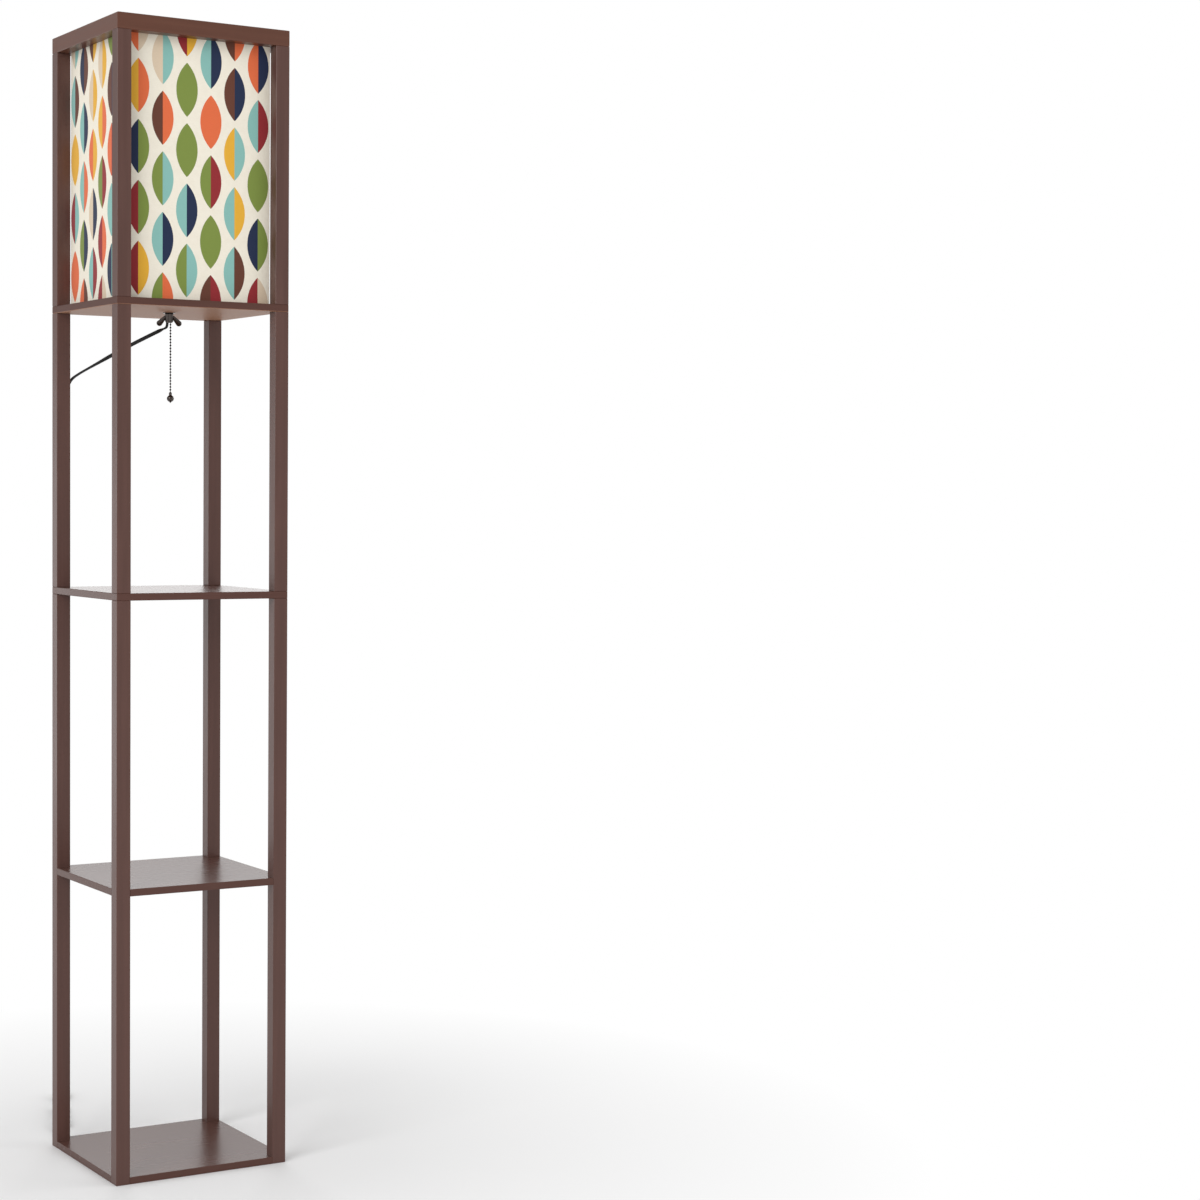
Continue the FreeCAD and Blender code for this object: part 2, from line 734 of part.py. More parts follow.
def switch():
    """The insulator with its lever chamber, the pin across it and the forked lever on the pin."""
    turn = Rotation(UP, d.cord_heading)
    pin_x = -d.chain_offset - d.lever_reach
    body = new_body()
    disc = sketch(body, lift=plate_top + d.insulator_foot)
    circle(disc, d.insulator_dia)
    pad(body, disc, d.insulator_top - d.insulator_foot)
    chamber = sketch(body, lift=top_bead_z + d.bead_dia / 2 + d.cavity_gap)
    tail, mouth = pin_x - d.lever_hub / 2 - d.turning_gap, d.lever_tip - d.chain_offset + d.cavity_gap
    wall = d.lever_width / 2 + d.cavity_gap
    outline(chamber, [(tail, -wall), (mouth, -wall), (mouth, wall), (tail, wall)])
    pocket(body, chamber, top_bead_z + d.bead_dia / 2 + d.cavity_gap - plate_top - d.insulator_foot
           + OVERCUT)
    pin_hole = sketch(body, "XZ_Plane")
    circle(pin_hole, d.pin_dia + 2 * d.thread_gap, pin_x, pin_z)
    pocket(body, pin_hole, d.pin_length + 2 * d.thread_gap, "Symmetric")
    keep("socket_insulator", place(body, rotation=turn))

    body = new_body()
    rod = sketch(body, "XZ_Plane")
    circle(rod, d.pin_dia, pin_x, pin_z)
    pad(body, rod, d.pin_length, "Symmetric")
    keep("lever_pin", place(body, rotation=turn))

    body = new_body()
    arm = sketch(body, "XZ_Plane")
    half, hub = d.lever_thick / 2, d.lever_hub / 2
    outline(arm, [(0.0, -half), (d.lever_reach + d.lever_tip, -half), (d.lever_reach + d.lever_tip, half),
                  (0.0, half)])
    pad(body, arm, d.lever_width, "Symmetric")
    boss = sketch(body, "XZ_Plane")
    circle(boss, d.lever_hub)
    pad(body, boss, d.lever_width, "Symmetric")
    slot = sketch(body, lift=hub)
    reach = d.lever_reach - d.fork_slot / 2
    tip = d.lever_reach + d.lever_tip + OVERCUT
    outline(slot, [(reach, -d.fork_slot / 2), (tip, -d.fork_slot / 2), (tip, d.fork_slot / 2),
                   (reach, d.fork_slot / 2)])
    pocket(body, slot, d.lever_hub)
    eye = sketch(body, "XZ_Plane")
    circle(eye, d.pin_dia + 2 * d.turning_gap)
    pocket(body, eye, d.lever_width + 2 * OVERCUT, "Symmetric")
    raised = Rotation(Vector(0, 1, 0), -d.lever_swing)
    spot = along_cord(pin_x, 0.0, pin_z)
    keep("switch_lever", place(body, spot.x, spot.y, pin_z, turn.multiply(raised)))


def bead_string(label, link_foot, link_top, rows):
    """Beads on a thin link; each row is (lowest bead's middle, how many beads stand above one another)."""
    body = new_body()
    wire = sketch(body, lift=link_foot)
    octagon(wire, d.link_dia)
    pad(body, wire, link_top - link_foot)
    # A bead is lofted in flats whose corners stand on a sphere; the link enters where it is as wide.
    band = math.radians(d.bead_band)
    belly_high, belly_dia = d.bead_dia / 2 * math.sin(band), d.bead_dia * math.cos(band)
    end_high = d.bead_dia / 2 * math.sin(math.acos(d.link_dia / d.bead_dia))
    for lowest, count in rows:
        sections = []
        for height, dia in ((-end_high, d.link_dia), (-belly_high, belly_dia),
                            (belly_high, belly_dia), (end_high, d.link_dia)):
            section = sketch(body, lift=lowest + height)
            octagon(section, dia)
            sections.append(section)
        bead = loft(body, sections)
        if count > 1:
            row = body.newObject("PartDesign::LinearPattern", "Row")
            row.Originals = [bead]
            row.Direction = (body_axis(body, "Z_Axis"), [""])
            bind(row, "Length", (count - 1) * d.bead_pitch)
            row.Occurrences = count
            body.Tip = row
    spot = along_cord(-d.chain_offset, 0.0, 0.0)
    keep(label, place(body, spot.x, spot.y))


def chain():
    """The pull chain: a length in the nipple's bore that slides, and the length that hangs."""
    lowest = mouth_z + d.bead_dia / 2
    bead_string("chain_top", lowest, top_bead_z, [(lowest, int(d.inner_beads)), (top_bead_z, 1)])
    hung = int(d.drop_beads)
    last = lowest - hung * d.bead_pitch
    bead_string("chain_drop", last, mouth_z - d.chain_gap, [(last, hung)])

    spot = along_cord(-d.chain_offset, 0.0, 0.0)
    middle = last - d.ball_drop
    clasp = last + d.ferrule_clasp
    seat = last - d.bead_dia / 2 - d.ferrule_gap
    knob = fuse([ball(d.ball_dia, (spot.x, spot.y, middle)),
                 cylinder(d.ferrule_dia, clasp - middle, (spot.x, spot.y, middle)),
                 cone(d.ball_point_dia / 2, d.ball_point_dia, d.ball_point + d.ball_dia / 4,
                      (spot.x, spot.y, middle - d.ball_dia / 2 - d.ball_point))])
    bore = cylinder(d.bead_dia + 2 * d.ferrule_gap, clasp - seat + OVERCUT, (spot.x, spot.y, seat))
    keep("pull_ball", cut(knob, [bore]))


def bulb():
    """A pear-shaped bulb: its screw base, and hollow glass with a concave neck and a round dome.

    Inside, the dome is turned from flats, which nothing shows.
    """
    foot = d.insulator_top + d.contact_thick + d.bulb_seat
    side, cone_side, tip = d.base_dia / 2, d.base_cone_dia / 2, d.base_tip_dia / 2
    keep("bulb_base", turned([
        (0.0, 0.0), (tip - d.base_tip_height, 0.0), (tip, d.base_tip_height),
        (cone_side, d.base_cone_height - d.base_tip_height), (side, d.base_cone_height),
        (side, d.base_height - d.base_flare), (side + d.base_flare / 2, d.base_height),
        (0.0, d.base_height)], plate_top + foot))

    dome, neck, wall = d.glass_dia / 2, d.glass_neck_dia / 2, d.glass_wall
    middle = d.glass_height - dome
    sweep = (neck * neck + middle * middle - dome * dome) / (2 * (dome - neck))
    reach = sweep + neck
    slope_x, slope_y = reach / (dome + sweep), middle / (dome + sweep)
    inner = dome - wall
    flats = [(inner * math.cos(math.radians(rise)), middle + inner * math.sin(math.radians(rise)))
             for rise in INNER_DOME_LATITUDES]
    keep("bulb_glass", turned([
        ccw(neck - wall, 0.0, sweep + wall), (neck, 0.0),
        cw(dome * slope_x, middle - dome * slope_y, sweep), ccw(0.0, d.glass_height, dome),
        (0.0, d.glass_height - wall), *flats, (inner * slope_x, middle - inner * slope_y)],
        plate_top + foot + d.base_height))


# The cord

def bend(before, at, after, share=0.45):
    """The tangent arc that rounds one point of a route, as its start, middle and end."""
    come, go = (at - before), (after - at)
    run = min(come.Length, go.Length)
    come, go = come.normalize(), go.normalize()
    half_turn = come.getAngle(go) / 2
    start, end = at - come * (share * run), at + go * (share * run)
    radius = share * run / math.tan(half_turn)
    inward = (go - come).normalize()
    centre = at + inward * (radius / math.cos(half_turn))
    return start, centre - inward * radius, end, radius


def rounded_path(points):
    """Straight runs joined by tangent arcs; prints the radii, in millimetres."""
    edges, radii, here = [], [], points[0]
    for before, at, after in zip(points, points[1:], points[2:]):
        start, middle, end, radius = bend(before, at, after)
        edges += [Part.LineSegment(here, start).toShape(), Part.Arc(start, middle, end).toShape()]
        radii.append(round(radius, 1))
        here = end
    edges.append(Part.LineSegment(here, points[-1]).toShape())
    print("cord radii", radii)
    return Part.Wire(edges)


def swept(path, sections):
    """A solid along a wire, through one section or a tapering pair."""
    return path.makePipeShell(sections, True, False)


def ring(dia, middle, normal):
    return Part.Wire([Part.makeCircle(dia / 2, middle, normal)])


def lead_and_relief():
    """The flat lead in the nipple, and the moulded bend that takes it out under the wing nut."""
    turn = Rotation(UP, d.cord_heading)
    body = new_body()
    flat = sketch(body, lift=mouth_z)
    thick, flank = d.lead_thick / 2, (d.cord_dia - d.lead_thick) / 2
    near, far = d.lead_offset - thick, d.lead_offset + thick
    outline(flat, [ccw(near, -flank, thick), ccw(d.lead_offset, -flank - thick, thick),
                   ccw(far, -flank, thick), (far, flank), ccw(d.lead_offset, flank + thick, thick),
                   ccw(near, flank, thick)])
    pad(body, flat, plate_top + d.insulator_foot - mouth_z)
    keep("cord_lead", place(body, rotation=turn))

    def on_bend(angle):
        swing = math.radians(angle)
        return along_cord(d.relief_offset + d.relief_bend * (1 - math.cos(swing)), 0.0,
                          mouth_z - d.relief_bend * math.sin(swing))

    slope = math.radians(d.relief_turn)
    heading = along_cord(math.sin(slope), 0.0, -math.cos(slope))
    bend_end = on_bend(d.relief_turn)
    arc = Part.Wire([Part.Arc(on_bend(0), on_bend(d.relief_turn / 2), bend_end).toShape()])
    elbow = swept(arc, [ring(d.relief_top_dia, on_bend(0), UP)])
    taper = Part.makeCone(d.relief_top_dia / 2, d.relief_end_dia / 2, d.relief_straight, bend_end, heading)
    put_shape("strain_relief", elbow.fuse(taper))
    return bend_end + heading * d.relief_straight, heading


def on_tower(x, y, z):
    """A place of the route, shifted as the back left post is from where the route was drawn."""
    share = min(1, math.hypot(x, y) / math.hypot(*ROUTE_PLAN))
    shift = Vector(ROUTE_PLAN[0] - d.frame_width / 2, d.frame_depth / 2 - ROUTE_PLAN[1], 0)
    return Vector(x, y, z) + shift * share


def cord_tube(start, heading, end, end_heading):
    """The free cord, along the route chosen by hand; its end runs carry on what they join."""
    points = [start] + [on_tower(*point) for point in CORD_ROUTE[1:-1]] + [end]
    points[1] = start + heading * (points[1] - start).Length
    points[-2] = end - end_heading * (end - points[-2]).Length
    path = rounded_path(points)
    solid = swept(path, [ring(d.cord_dia, start, heading)])
    expected = path.Length * math.pi * d.cord_dia ** 2 / 4
    print("cord length %.1f, volume over section times length %.4f" % (path.Length, solid.Volume / expected))
    put_shape("cord", solid)
    return points


def clips(points):
    """Stuck-on saddles behind the back left post, each round the middle of one run."""
    inner = d.cord_dia + 2 * d.clip_gap
    outer = inner + 2 * d.clip_wall
    face = d.frame_depth / 2
    tall = d.clip_height + 2 * OVERCUT
    saddles = []
    for clip in range(int(d.clips)):
        run = int(d.first_clipped_run + clip * d.runs_per_clip)
        spot = (points[run] + points[run + 1]) * 0.5
        foot = spot.z - d.clip_height / 2
        below = foot - OVERCUT
        left = spot.x - d.clip_foot / 2
        loop = cylinder(outer, d.clip_height, (spot.x, spot.y, foot))
        plate = box((d.clip_foot, spot.y - inner / 2 - face, d.clip_height), (left, face, foot))
        hole = cylinder(inner, tall, (spot.x, spot.y, below))
        slit = box((outer, d.clip_slit, tall), (spot.x, spot.y, below))
        behind = box((d.clip_foot, d.clip_foot, tall), (left, face - d.clip_foot, below))
        saddles.append(cut(fuse([loop, plate]), [hole, slit, behind]))
    keep("cable_clips", group(saddles))


class Hank:
    """The spare cord, folded into three runs in two layers on the floor and drawn in at the waist.

    Places in it are (along, side, height) from the near fold's centre.
    """

    def __init__(self):
        heading = math.radians(d.hank_heading)
        self.along = Vector(math.cos(heading), math.sin(heading), 0)
        self.side = Vector(math.sin(heading), -math.cos(heading), 0)
        self.start = on_tower(d.hank_start_x, d.hank_start_y, d.cord_dia / 2)
        self.near = self.start + self.along * d.cord_dia + self.side * d.hank_fold
        self.near.z = 0
        self.edges = []
        self.tip = self.start

    def place(self, along, side, height):
        return self.near + self.along * along + self.side * side + Vector(0, 0, height)

    def line_to(self, point):
        self.edges.append(Part.LineSegment(self.tip, point).toShape())
        self.tip = point

    def arc_to(self, middle, point):
        self.edges.append(Part.Arc(self.tip, middle, point).toShape())
        self.tip = point

    def ease_to(self, point, heading):
        """Two equal arcs that shift the run sideways and leave it heading as it came."""
        gap = point - self.tip
        reach = gap.dot(heading)
        shift = gap - heading * reach
        if shift.Length < OVERCUT / 1000:
            self.line_to(point)
            return
        radius = (reach ** 2 + shift.Length ** 2) / (4 * shift.Length)
        half = math.asin(reach / 2 / radius) / 2
        swing = heading * math.sin(half) * radius
        sag = shift.normalize() * (1 - math.cos(half)) * radius
        centre = (self.tip + point) * 0.5
        self.arc_to(self.tip + swing + sag, centre)
        self.arc_to(point - swing - sag, point)

    def fold(self, along, height, turn):
        """A half turn about a fold's centre, from one side to the other."""
        self.arc_to(self.place(along + turn * d.hank_fold, 0.0, height),
                    self.place(along, turn * d.hank_fold, height))

    def wind(self):
        """Winds the three runs and returns the wire; the waist lifts them for the tie."""
        low, high = d.cord_dia / 2, d.cord_dia / 2 + d.hank_layer
        lift, waist, fold = d.tie_thick + d.tie_gap, d.hank_waist, d.hank_fold
        half = d.hank_run / 2
        self.line_to(self.place(0, -fold, low))
        self.ease_to(self.place(half, -waist, low + lift), self.along)
        self.ease_to(self.place(d.hank_run, -fold, low), self.along)
        self.fold(d.hank_run, low, 1)
        self.ease_to(self.place(half, waist, (low + high) / 2 + lift), -self.along)
        self.ease_to(self.place(0, fold, high), -self.along)
        self.fold(0, high, -1)
        self.ease_to(self.place(half, -waist, high + lift), self.along)
        self.ease_to(self.place(d.hank_run, -fold, high), self.along)
        self.line_to(self.place(d.hank_run + d.hank_over, -fold, high))
        self.ease_to(self.place(d.hank_run + d.hank_over + d.hank_exit, 0, d.plug_height / 2), self.along)
        self.line_to(self.place(d.hank_run + d.hank_over + d.hank_exit + d.cord_dia, 0, d.plug_height / 2))
        return Part.Wire(self.edges)


def self_gap(path, dia, samples=900):
    """The least gap between stretches of one tube that lie over three diameters apart along it."""
    points = path.discretize(samples)
    step = path.Length / (samples - 1)
    skip = int(3 * dia / step) + 1
    gaps = [(points[here] - points[there]).Length
            for here in range(samples) for there in range(here + skip, samples)]
    return min(gaps) - dia


def hank_and_plug(hank):
    path = hank.wind()
    solid = swept(path, [ring(d.cord_dia, hank.start, hank.along)])
    print("hank length %.1f, volume over section times length %.4f, least gap to itself %.2f"
          % (path.Length, solid.Volume / (path.Length * math.pi * d.cord_dia ** 2 / 4),
             self_gap(path, d.cord_dia)))
    put_shape("cord_hank", solid)

    turn = Rotation(UP, d.hank_heading)
    across = 2 * (d.hank_waist + d.tie_gap) + d.cord_dia
    tall = d.cord_dia + d.hank_layer + 2 * d.tie_gap
    band = new_body()
    loop = sketch(band, "YZ_Plane")
    middle = d.tie_thick + tall / 2
    round_rectangle(loop, across + 2 * d.tie_thick, tall + 2 * d.tie_thick, d.cord_dia / 2 + d.tie_thick,
                    0.0, middle)
    round_rectangle(loop, across, tall, d.cord_dia / 2, 0.0, middle)
    pad(band, loop, d.tie_width, "Symmetric")
    spot = hank.place(d.hank_run / 2, 0.0, 0.0)
    keep("hank_tie", place(band, spot.x, spot.y, 0.0, turn))

    plug = new_body()
    stations = [(0.0, d.plug_neck, d.plug_neck), (d.plug_shoulder, d.plug_width, d.plug_height),
                (d.plug_length, d.plug_width, d.plug_height)]
    sections = []
    for reach, wide, tall in stations:
        section = sketch(plug, "YZ_Plane", reach)
        round_rectangle(section, wide, tall, d.plug_round)
        sections.append(section)
    loft(plug, sections)
    place(plug, hank.tip.x, hank.tip.y, d.plug_height / 2, turn)
    keep("plug_body", plug)

    blades = []
    for side in (-1, 1):
        body = new_body()
        section = sketch(body, "YZ_Plane", d.plug_length)
        rectangle(section, d.blade_thick, d.blade_width, side * d.blade_space / 2, 0.0)
        pad(body, section, d.blade_length)
        blades.append(place(body, hank.tip.x, hank.tip.y, d.plug_height / 2, turn))
    keep("plug_blades", group(blades))


def write_parts():
    """Checks every object and sub-part, then writes one STEP file for each sub-part."""
    doc.recompute()
    for thing in doc.Objects:
        if "Invalid" in thing.State or "Error" in thing.State:
            raise RuntimeError("%s (%s) failed: %s" % (thing.Name, thing.Label, thing.State))
    for label, thing in pieces.items():
        if thing.Shape.isNull() or not thing.Shape.isValid() or not thing.Shape.Solids:
            raise RuntimeError("%s has no sound solid" % label)
    os.makedirs("parts", exist_ok=True)
    for label, thing in pieces.items():
        thing.Shape.exportStep("parts/%s.step" % label)
    print(len(pieces), "sub-parts")


doc = FreeCAD.newDocument("ShelfFloorLamp")
d = make_sheet()
plate_top = d.lamp_plate_z + d.board_thick
rail_z = d.frame_height - d.rail_height
mouth_z = d.lamp_plate_z - d.nipple_below
top_bead_z = mouth_z + d.bead_dia / 2 + (d.inner_beads + 1) * d.bead_pitch
lever_rise = (d.lever_reach * math.tan(math.radians(d.lever_swing))
              + (d.bead_dia / 2 + d.lever_thick / 2 + d.chain_gap) / math.cos(math.radians(d.lever_swing)))
pin_z = top_bead_z - lever_rise

bores = pins_and_bores()
boards(bores)
posts(bores)
top_rails(bores)
shade()
fasteners()
wing_nut()
holder_shells()
switch()
chain()
bulb()
relief_tip, relief_heading = lead_and_relief()
hank = Hank()
clips(cord_tube(relief_tip, relief_heading, hank.start, hank.along))
hank_and_plug(hank)
write_parts()
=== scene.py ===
"""Shelf floor lamp: looks. Metres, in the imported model's frame: X along the front, Y back, Z up."""
import math

import bmesh
import bpy
from mathutils import Matrix, Vector


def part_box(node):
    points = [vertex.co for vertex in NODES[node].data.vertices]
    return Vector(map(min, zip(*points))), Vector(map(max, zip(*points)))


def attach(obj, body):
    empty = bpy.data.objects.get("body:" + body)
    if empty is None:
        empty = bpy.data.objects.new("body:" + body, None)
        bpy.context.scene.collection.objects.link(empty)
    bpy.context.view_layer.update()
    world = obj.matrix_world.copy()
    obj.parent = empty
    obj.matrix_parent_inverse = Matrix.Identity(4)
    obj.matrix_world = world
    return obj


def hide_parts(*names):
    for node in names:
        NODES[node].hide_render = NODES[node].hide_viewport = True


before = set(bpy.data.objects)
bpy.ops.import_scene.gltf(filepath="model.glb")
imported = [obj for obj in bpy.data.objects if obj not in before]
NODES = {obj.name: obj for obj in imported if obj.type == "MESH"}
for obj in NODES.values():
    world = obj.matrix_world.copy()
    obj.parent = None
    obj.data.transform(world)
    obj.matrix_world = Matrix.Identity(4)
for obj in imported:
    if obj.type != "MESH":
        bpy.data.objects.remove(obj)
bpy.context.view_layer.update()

MM = 0.001
UP = Vector((0, 0, 1))
WHITE = (1, 1, 1, 1)


def show(name, data):
    """A new object in the scene that holds the data."""
    made = bpy.data.objects.new(name, data)
    bpy.context.scene.collection.objects.link(made)
    return made


# ------------------------------------------------------------------ camera, light and floor

CAMERA_PLACE = Vector((-1.3908, -3.3862, 0.9577))
CAMERA_YAW = math.radians(32.025)       # turned to the right of straight along +Y
CAMERA_PITCH = math.radians(-2.425)
CAMERA_ROLL = math.radians(0.525)
CAMERA_LENS = 75.82                     # on a 36 mm sensor
SENSOR = 36.0


def make_camera():
    data = bpy.data.cameras.new("Camera")
    data.lens = CAMERA_LENS
    data.sensor_width = SENSOR
    camera = show("Camera", data)
    ahead = Vector((math.sin(CAMERA_YAW) * math.cos(CAMERA_PITCH),
                    math.cos(CAMERA_YAW) * math.cos(CAMERA_PITCH), math.sin(CAMERA_PITCH)))
    level_right = Vector((math.cos(CAMERA_YAW), -math.sin(CAMERA_YAW), 0))
    level_up = level_right.cross(ahead)
    right = level_right * math.cos(CAMERA_ROLL) + level_up * math.sin(CAMERA_ROLL)
    above = level_up * math.cos(CAMERA_ROLL) - level_right * math.sin(CAMERA_ROLL)
    turn = Matrix((right, above, -ahead)).transposed().to_4x4()
    camera.matrix_world = Matrix.Translation(CAMERA_PLACE) @ turn
    bpy.context.scene.camera = camera


# The Mix node's colour sockets, which share their names with its other kinds.
MIX_FIRST = 6
MIX_SECOND = 7
MIX_RESULT = 2


class Shader:
    """A material with a Principled shader, and short calls that add nodes to it."""

    def __init__(self, name, **sockets):
        self.material = bpy.data.materials.new(name)
        self.material.use_nodes = True
        self.tree = self.material.node_tree
        self.principled = self.tree.nodes["Principled BSDF"]
        for socket, value in sockets.items():
            self.set(socket.replace("_", " "), value)

    def set(self, socket, value):
        self.feed(self.principled.inputs[socket], value)

    def feed(self, socket, value):
        if isinstance(value, bpy.types.NodeSocket):
            self.tree.links.new(value, socket)
        else:
            socket.default_value = value

    def add(self, kind, inputs=(), out=0, **settings):
        """Adds a node and returns one of its outputs."""
        node = self.tree.nodes.new("ShaderNode" + kind)
        for setting, value in settings.items():
            setattr(node, setting, value)
        for socket, value in dict(inputs).items():
            self.feed(node.inputs[socket], value)
        return node.outputs[out]

    def maths(self, operation, *values):
        return self.add("Math", enumerate(values), operation=operation)

    def split(self, vector):
        """The X, Y and Z outputs of a vector."""
        node = self.tree.nodes.new("ShaderNodeSeparateXYZ")
        self.feed(node.inputs[0], vector)
        return node.outputs

    def place(self, scale=(1, 1, 1)):
        """The surface's place in metres, stretched by a scale."""
        spot = self.add("TexCoord", out="Object")
        return self.add("Mapping", {"Vector": spot, "Scale": scale})

    def noise(self, spot, scale, detail=3.0, roughness=0.55):
        return self.add("TexNoise", {"Vector": spot, "Scale": scale, "Detail": detail,
                                     "Roughness": roughness})

    def spread(self, value, low, high, start=0.0, end=1.0):
        """Maps a value from one range to another."""
        return self.add("MapRange", {"Value": value, "From Min": start, "From Max": end,
                                     "To Min": low, "To Max": high})

    def blend(self, share, first, second):
        node = self.tree.nodes.new("ShaderNodeMix")
        node.data_type = "RGBA"
        self.feed(node.inputs["Factor"], share)
        self.feed(node.inputs[MIX_FIRST], first)
        self.feed(node.inputs[MIX_SECOND], second)
        return node.outputs[MIX_RESULT]

    def bump(self, height, strength, distance):
        self.set("Normal", self.add("Bump", {"Height": height, "Strength": strength,
                                             "Distance": distance}))
        return self.material


def srgb(red, green, blue):
    """A colour given as it shows, 0 to 255, for a node's socket."""
    linear = []
    for part in (red / 255, green / 255, blue / 255):
        linear.append(part / 12.92 if part <= 0.04045 else ((part + 0.055) / 1.055) ** 2.4)
    return (*linear, 1.0)


FLOOR_SIZE = 12.0
FLOOR_GREY = (0.86, 0.86, 0.86, 1)
FLOOR_SHADE_NEAR = 0.30      # within this reach the floor shows all its shadow
FLOOR_SHADE_FAR = 1.10       # past this one it is plain white


def make_floor():
    """A pale floor that shows the lamp's shadow near it and turns to plain white further off."""
    mesh = bpy.data.meshes.new("floor")
    half = FLOOR_SIZE / 2
    mesh.from_pydata([(-half, -half, 0), (half, -half, 0), (half, half, 0), (-half, half, 0)], [],
                     [(0, 1, 2, 3)])
    floor = show("floor", mesh)
    made = Shader("floor", Base_Color=FLOOR_GREY, Roughness=0.9)
    spot = made.add("TexCoord", out="Object")
    reach = made.add("VectorMath", {0: spot}, operation="LENGTH", out="Value")
    far = made.spread(reach, 0.0, 1.0, FLOOR_SHADE_NEAR, FLOOR_SHADE_FAR)
    seen = made.maths("MULTIPLY", far, see_background(made))
    white = made.add("Emission", {"Color": WHITE, "Strength": 1.0})
    mixed = made.add("MixShader", {0: seen, 1: made.principled.outputs[0], 2: white})
    made.feed(made.tree.nodes["Material Output"].inputs["Surface"], mixed)
    mesh.materials.append(made.material)


def see_background(shader):
    """1 for rays that the camera sees directly, or in a mirror, or through glass."""
    path = shader.tree.nodes.new("ShaderNodeLightPath")
    direct = shader.maths("MAXIMUM", path.outputs["Is Camera Ray"], path.outputs["Is Glossy Ray"])
    return shader.maths("MAXIMUM", direct, path.outputs["Is Transmission Ray"])


WORLD_LIGHT = 0.62


def make_world():
    """Even light all round, that the camera sees as plain white."""
    world = bpy.data.worlds.new("studio")
    bpy.context.scene.world = world
    world.use_nodes = True
    tree = world.node_tree
    path = tree.nodes.new("ShaderNodeLightPath")
    seen = tree.nodes.new("ShaderNodeMath")
    seen.operation = "MAXIMUM"
    tree.links.new(path.outputs["Is Camera Ray"], seen.inputs[0])
    tree.links.new(path.outputs["Is Transmission Ray"], seen.inputs[1])
    level = tree.nodes.new("ShaderNodeMapRange")
    tree.links.new(seen.outputs[0], level.inputs["Value"])
    level.inputs["To Min"].default_value = WORLD_LIGHT
    level.inputs["To Max"].default_value = 1.0
    ground = tree.nodes["Background"]
    ground.inputs["Color"].default_value = WHITE
    tree.links.new(level.outputs[0], ground.inputs["Strength"])


LIGHT_TARGET = Vector((0, 0, 0.8))


def area_light(name, place, size, watts):
    """A square light, its size in metres, that faces the lamp's middle."""
    data = bpy.data.lights.new(name, "AREA")
    data.size = size
    data.energy = watts
    light = show(name, data)
    light.location = place
    light.rotation_euler = (LIGHT_TARGET - Vector(place)).to_track_quat("-Z", "Y").to_euler()


make_camera()
make_world()
make_floor()
area_light("key", (-3.1, -2.2, 2.5), 2.4, 88)
area_light("fill", (3.4, -2.4, 1.8), 2.6, 32)
area_light("back", (1.2, 3.6, 2.4), 2.4, 36)
area_light("low_back", (-1.3, 3.9, 0.55), 1.4, 6)
bpy.context.scene.view_settings.view_transform = "Standard"

# ------------------------------------------------------------------ materials

NOISE_SPAN = (0.3, 0.7)  # where nearly all of a noise's values lie
FINE_DEPTH = 0.0001      # of a bump, in metres
COARSE_DEPTH = 0.0003
GRAIN_LONG = 5           # a noise's scale along the grain, and across it
GRAIN_ACROSS = 130
FACES_DOWN = -0.5        # a normal whose Z is below this belongs to an underside


def painted_wood(name, along, colour, rough=0.34, relief=0.06, gloss=0.3, under=None):
    """Dark semi-gloss paint over wood whose grain runs along one axis and shows faintly.

    A board may have a paler, warmer colour on its underside: a painted reflection of light on its
    gloss paint.
    """
    squash = [GRAIN_LONG if axis == along else GRAIN_ACROSS for axis in "XYZ"]
    made = Shader(name, Roughness=rough)
    grain = made.noise(made.place(squash), 1.0, 5.0)
    patch = made.noise(made.place(), 9.0, 2.0)
    deep = made.blend(made.spread(grain, 0, 1, 0.35, 0.7), colour[0], colour[1])
    paint = made.blend(made.spread(patch, 0, 0.35, 0.4, 0.75), deep, colour[2])
    # Faces that look down take the colour given as under: a painted reflection on the underside.
    if under:
        facing = made.split(made.add("NewGeometry", out="Normal"))
        paint = made.blend(made.maths("LESS_THAN", facing["Z"], FACES_DOWN), paint, under)
    made.set("Base Color", paint)
    made.set("Roughness", made.spread(grain, rough - relief / 2, rough + relief, *NOISE_SPAN))
    made.principled.inputs["Specular IOR Level"].default_value = gloss
    made.principled.inputs["Coat Weight"].default_value = gloss / 4
    made.principled.inputs["Coat Roughness"].default_value = 0.2
    speck = made.noise(made.place(), 900.0, 2.0)
    height = made.maths("ADD", grain, made.maths("MULTIPLY", speck, 0.35))
    return made.bump(height, relief, COARSE_DEPTH)


TARNISH = (0.02, 0.02, 0.02, 1)


def metal(name, colour, rough, speckle=0.06, grain=(400, 400, 400)):
    """Bare or plated metal, with a faint haze of tarnish."""
    made = Shader(name, Base_Color=colour, Metallic=1.0)
    haze = made.noise(made.place(grain), 1.0, 3.0)
    made.set("Roughness", made.spread(haze, rough - speckle / 2, rough + speckle, *NOISE_SPAN))
    tarnish = made.spread(haze, 0.0, 0.25, *NOISE_SPAN)
    made.set("Base Color", made.blend(tarnish, colour, TARNISH))
    return made.bump(haze, 0.05, FINE_DEPTH)


def moulding(name, colour, rough, sheen=0.0, lift=1.5):
    """Moulded plastic or enamel with a fine orange-peel surface."""
    made = Shader(name, Roughness=rough)
    peel = made.noise(made.place(), 1500.0, 2.0)
    cloud = made.noise(made.place(), 60.0, 3.0)
    lighter = tuple(min(part * lift + 0.004 * lift, 1) for part in colour[:3]) + (1.0,)
    made.set("Base Color", made.blend(made.spread(cloud, 0, 1, *NOISE_SPAN), colour, lighter))
    made.set("Roughness", made.spread(cloud, rough - 0.05, rough + 0.08, *NOISE_SPAN))
    made.principled.inputs["Coat Weight"].default_value = sheen
    return made.bump(peel, 0.12, FINE_DEPTH)


OPAL_PALE = (0.93, 0.93, 0.91, 1)
OPAL_DEEP = (0.87, 0.87, 0.84, 1)


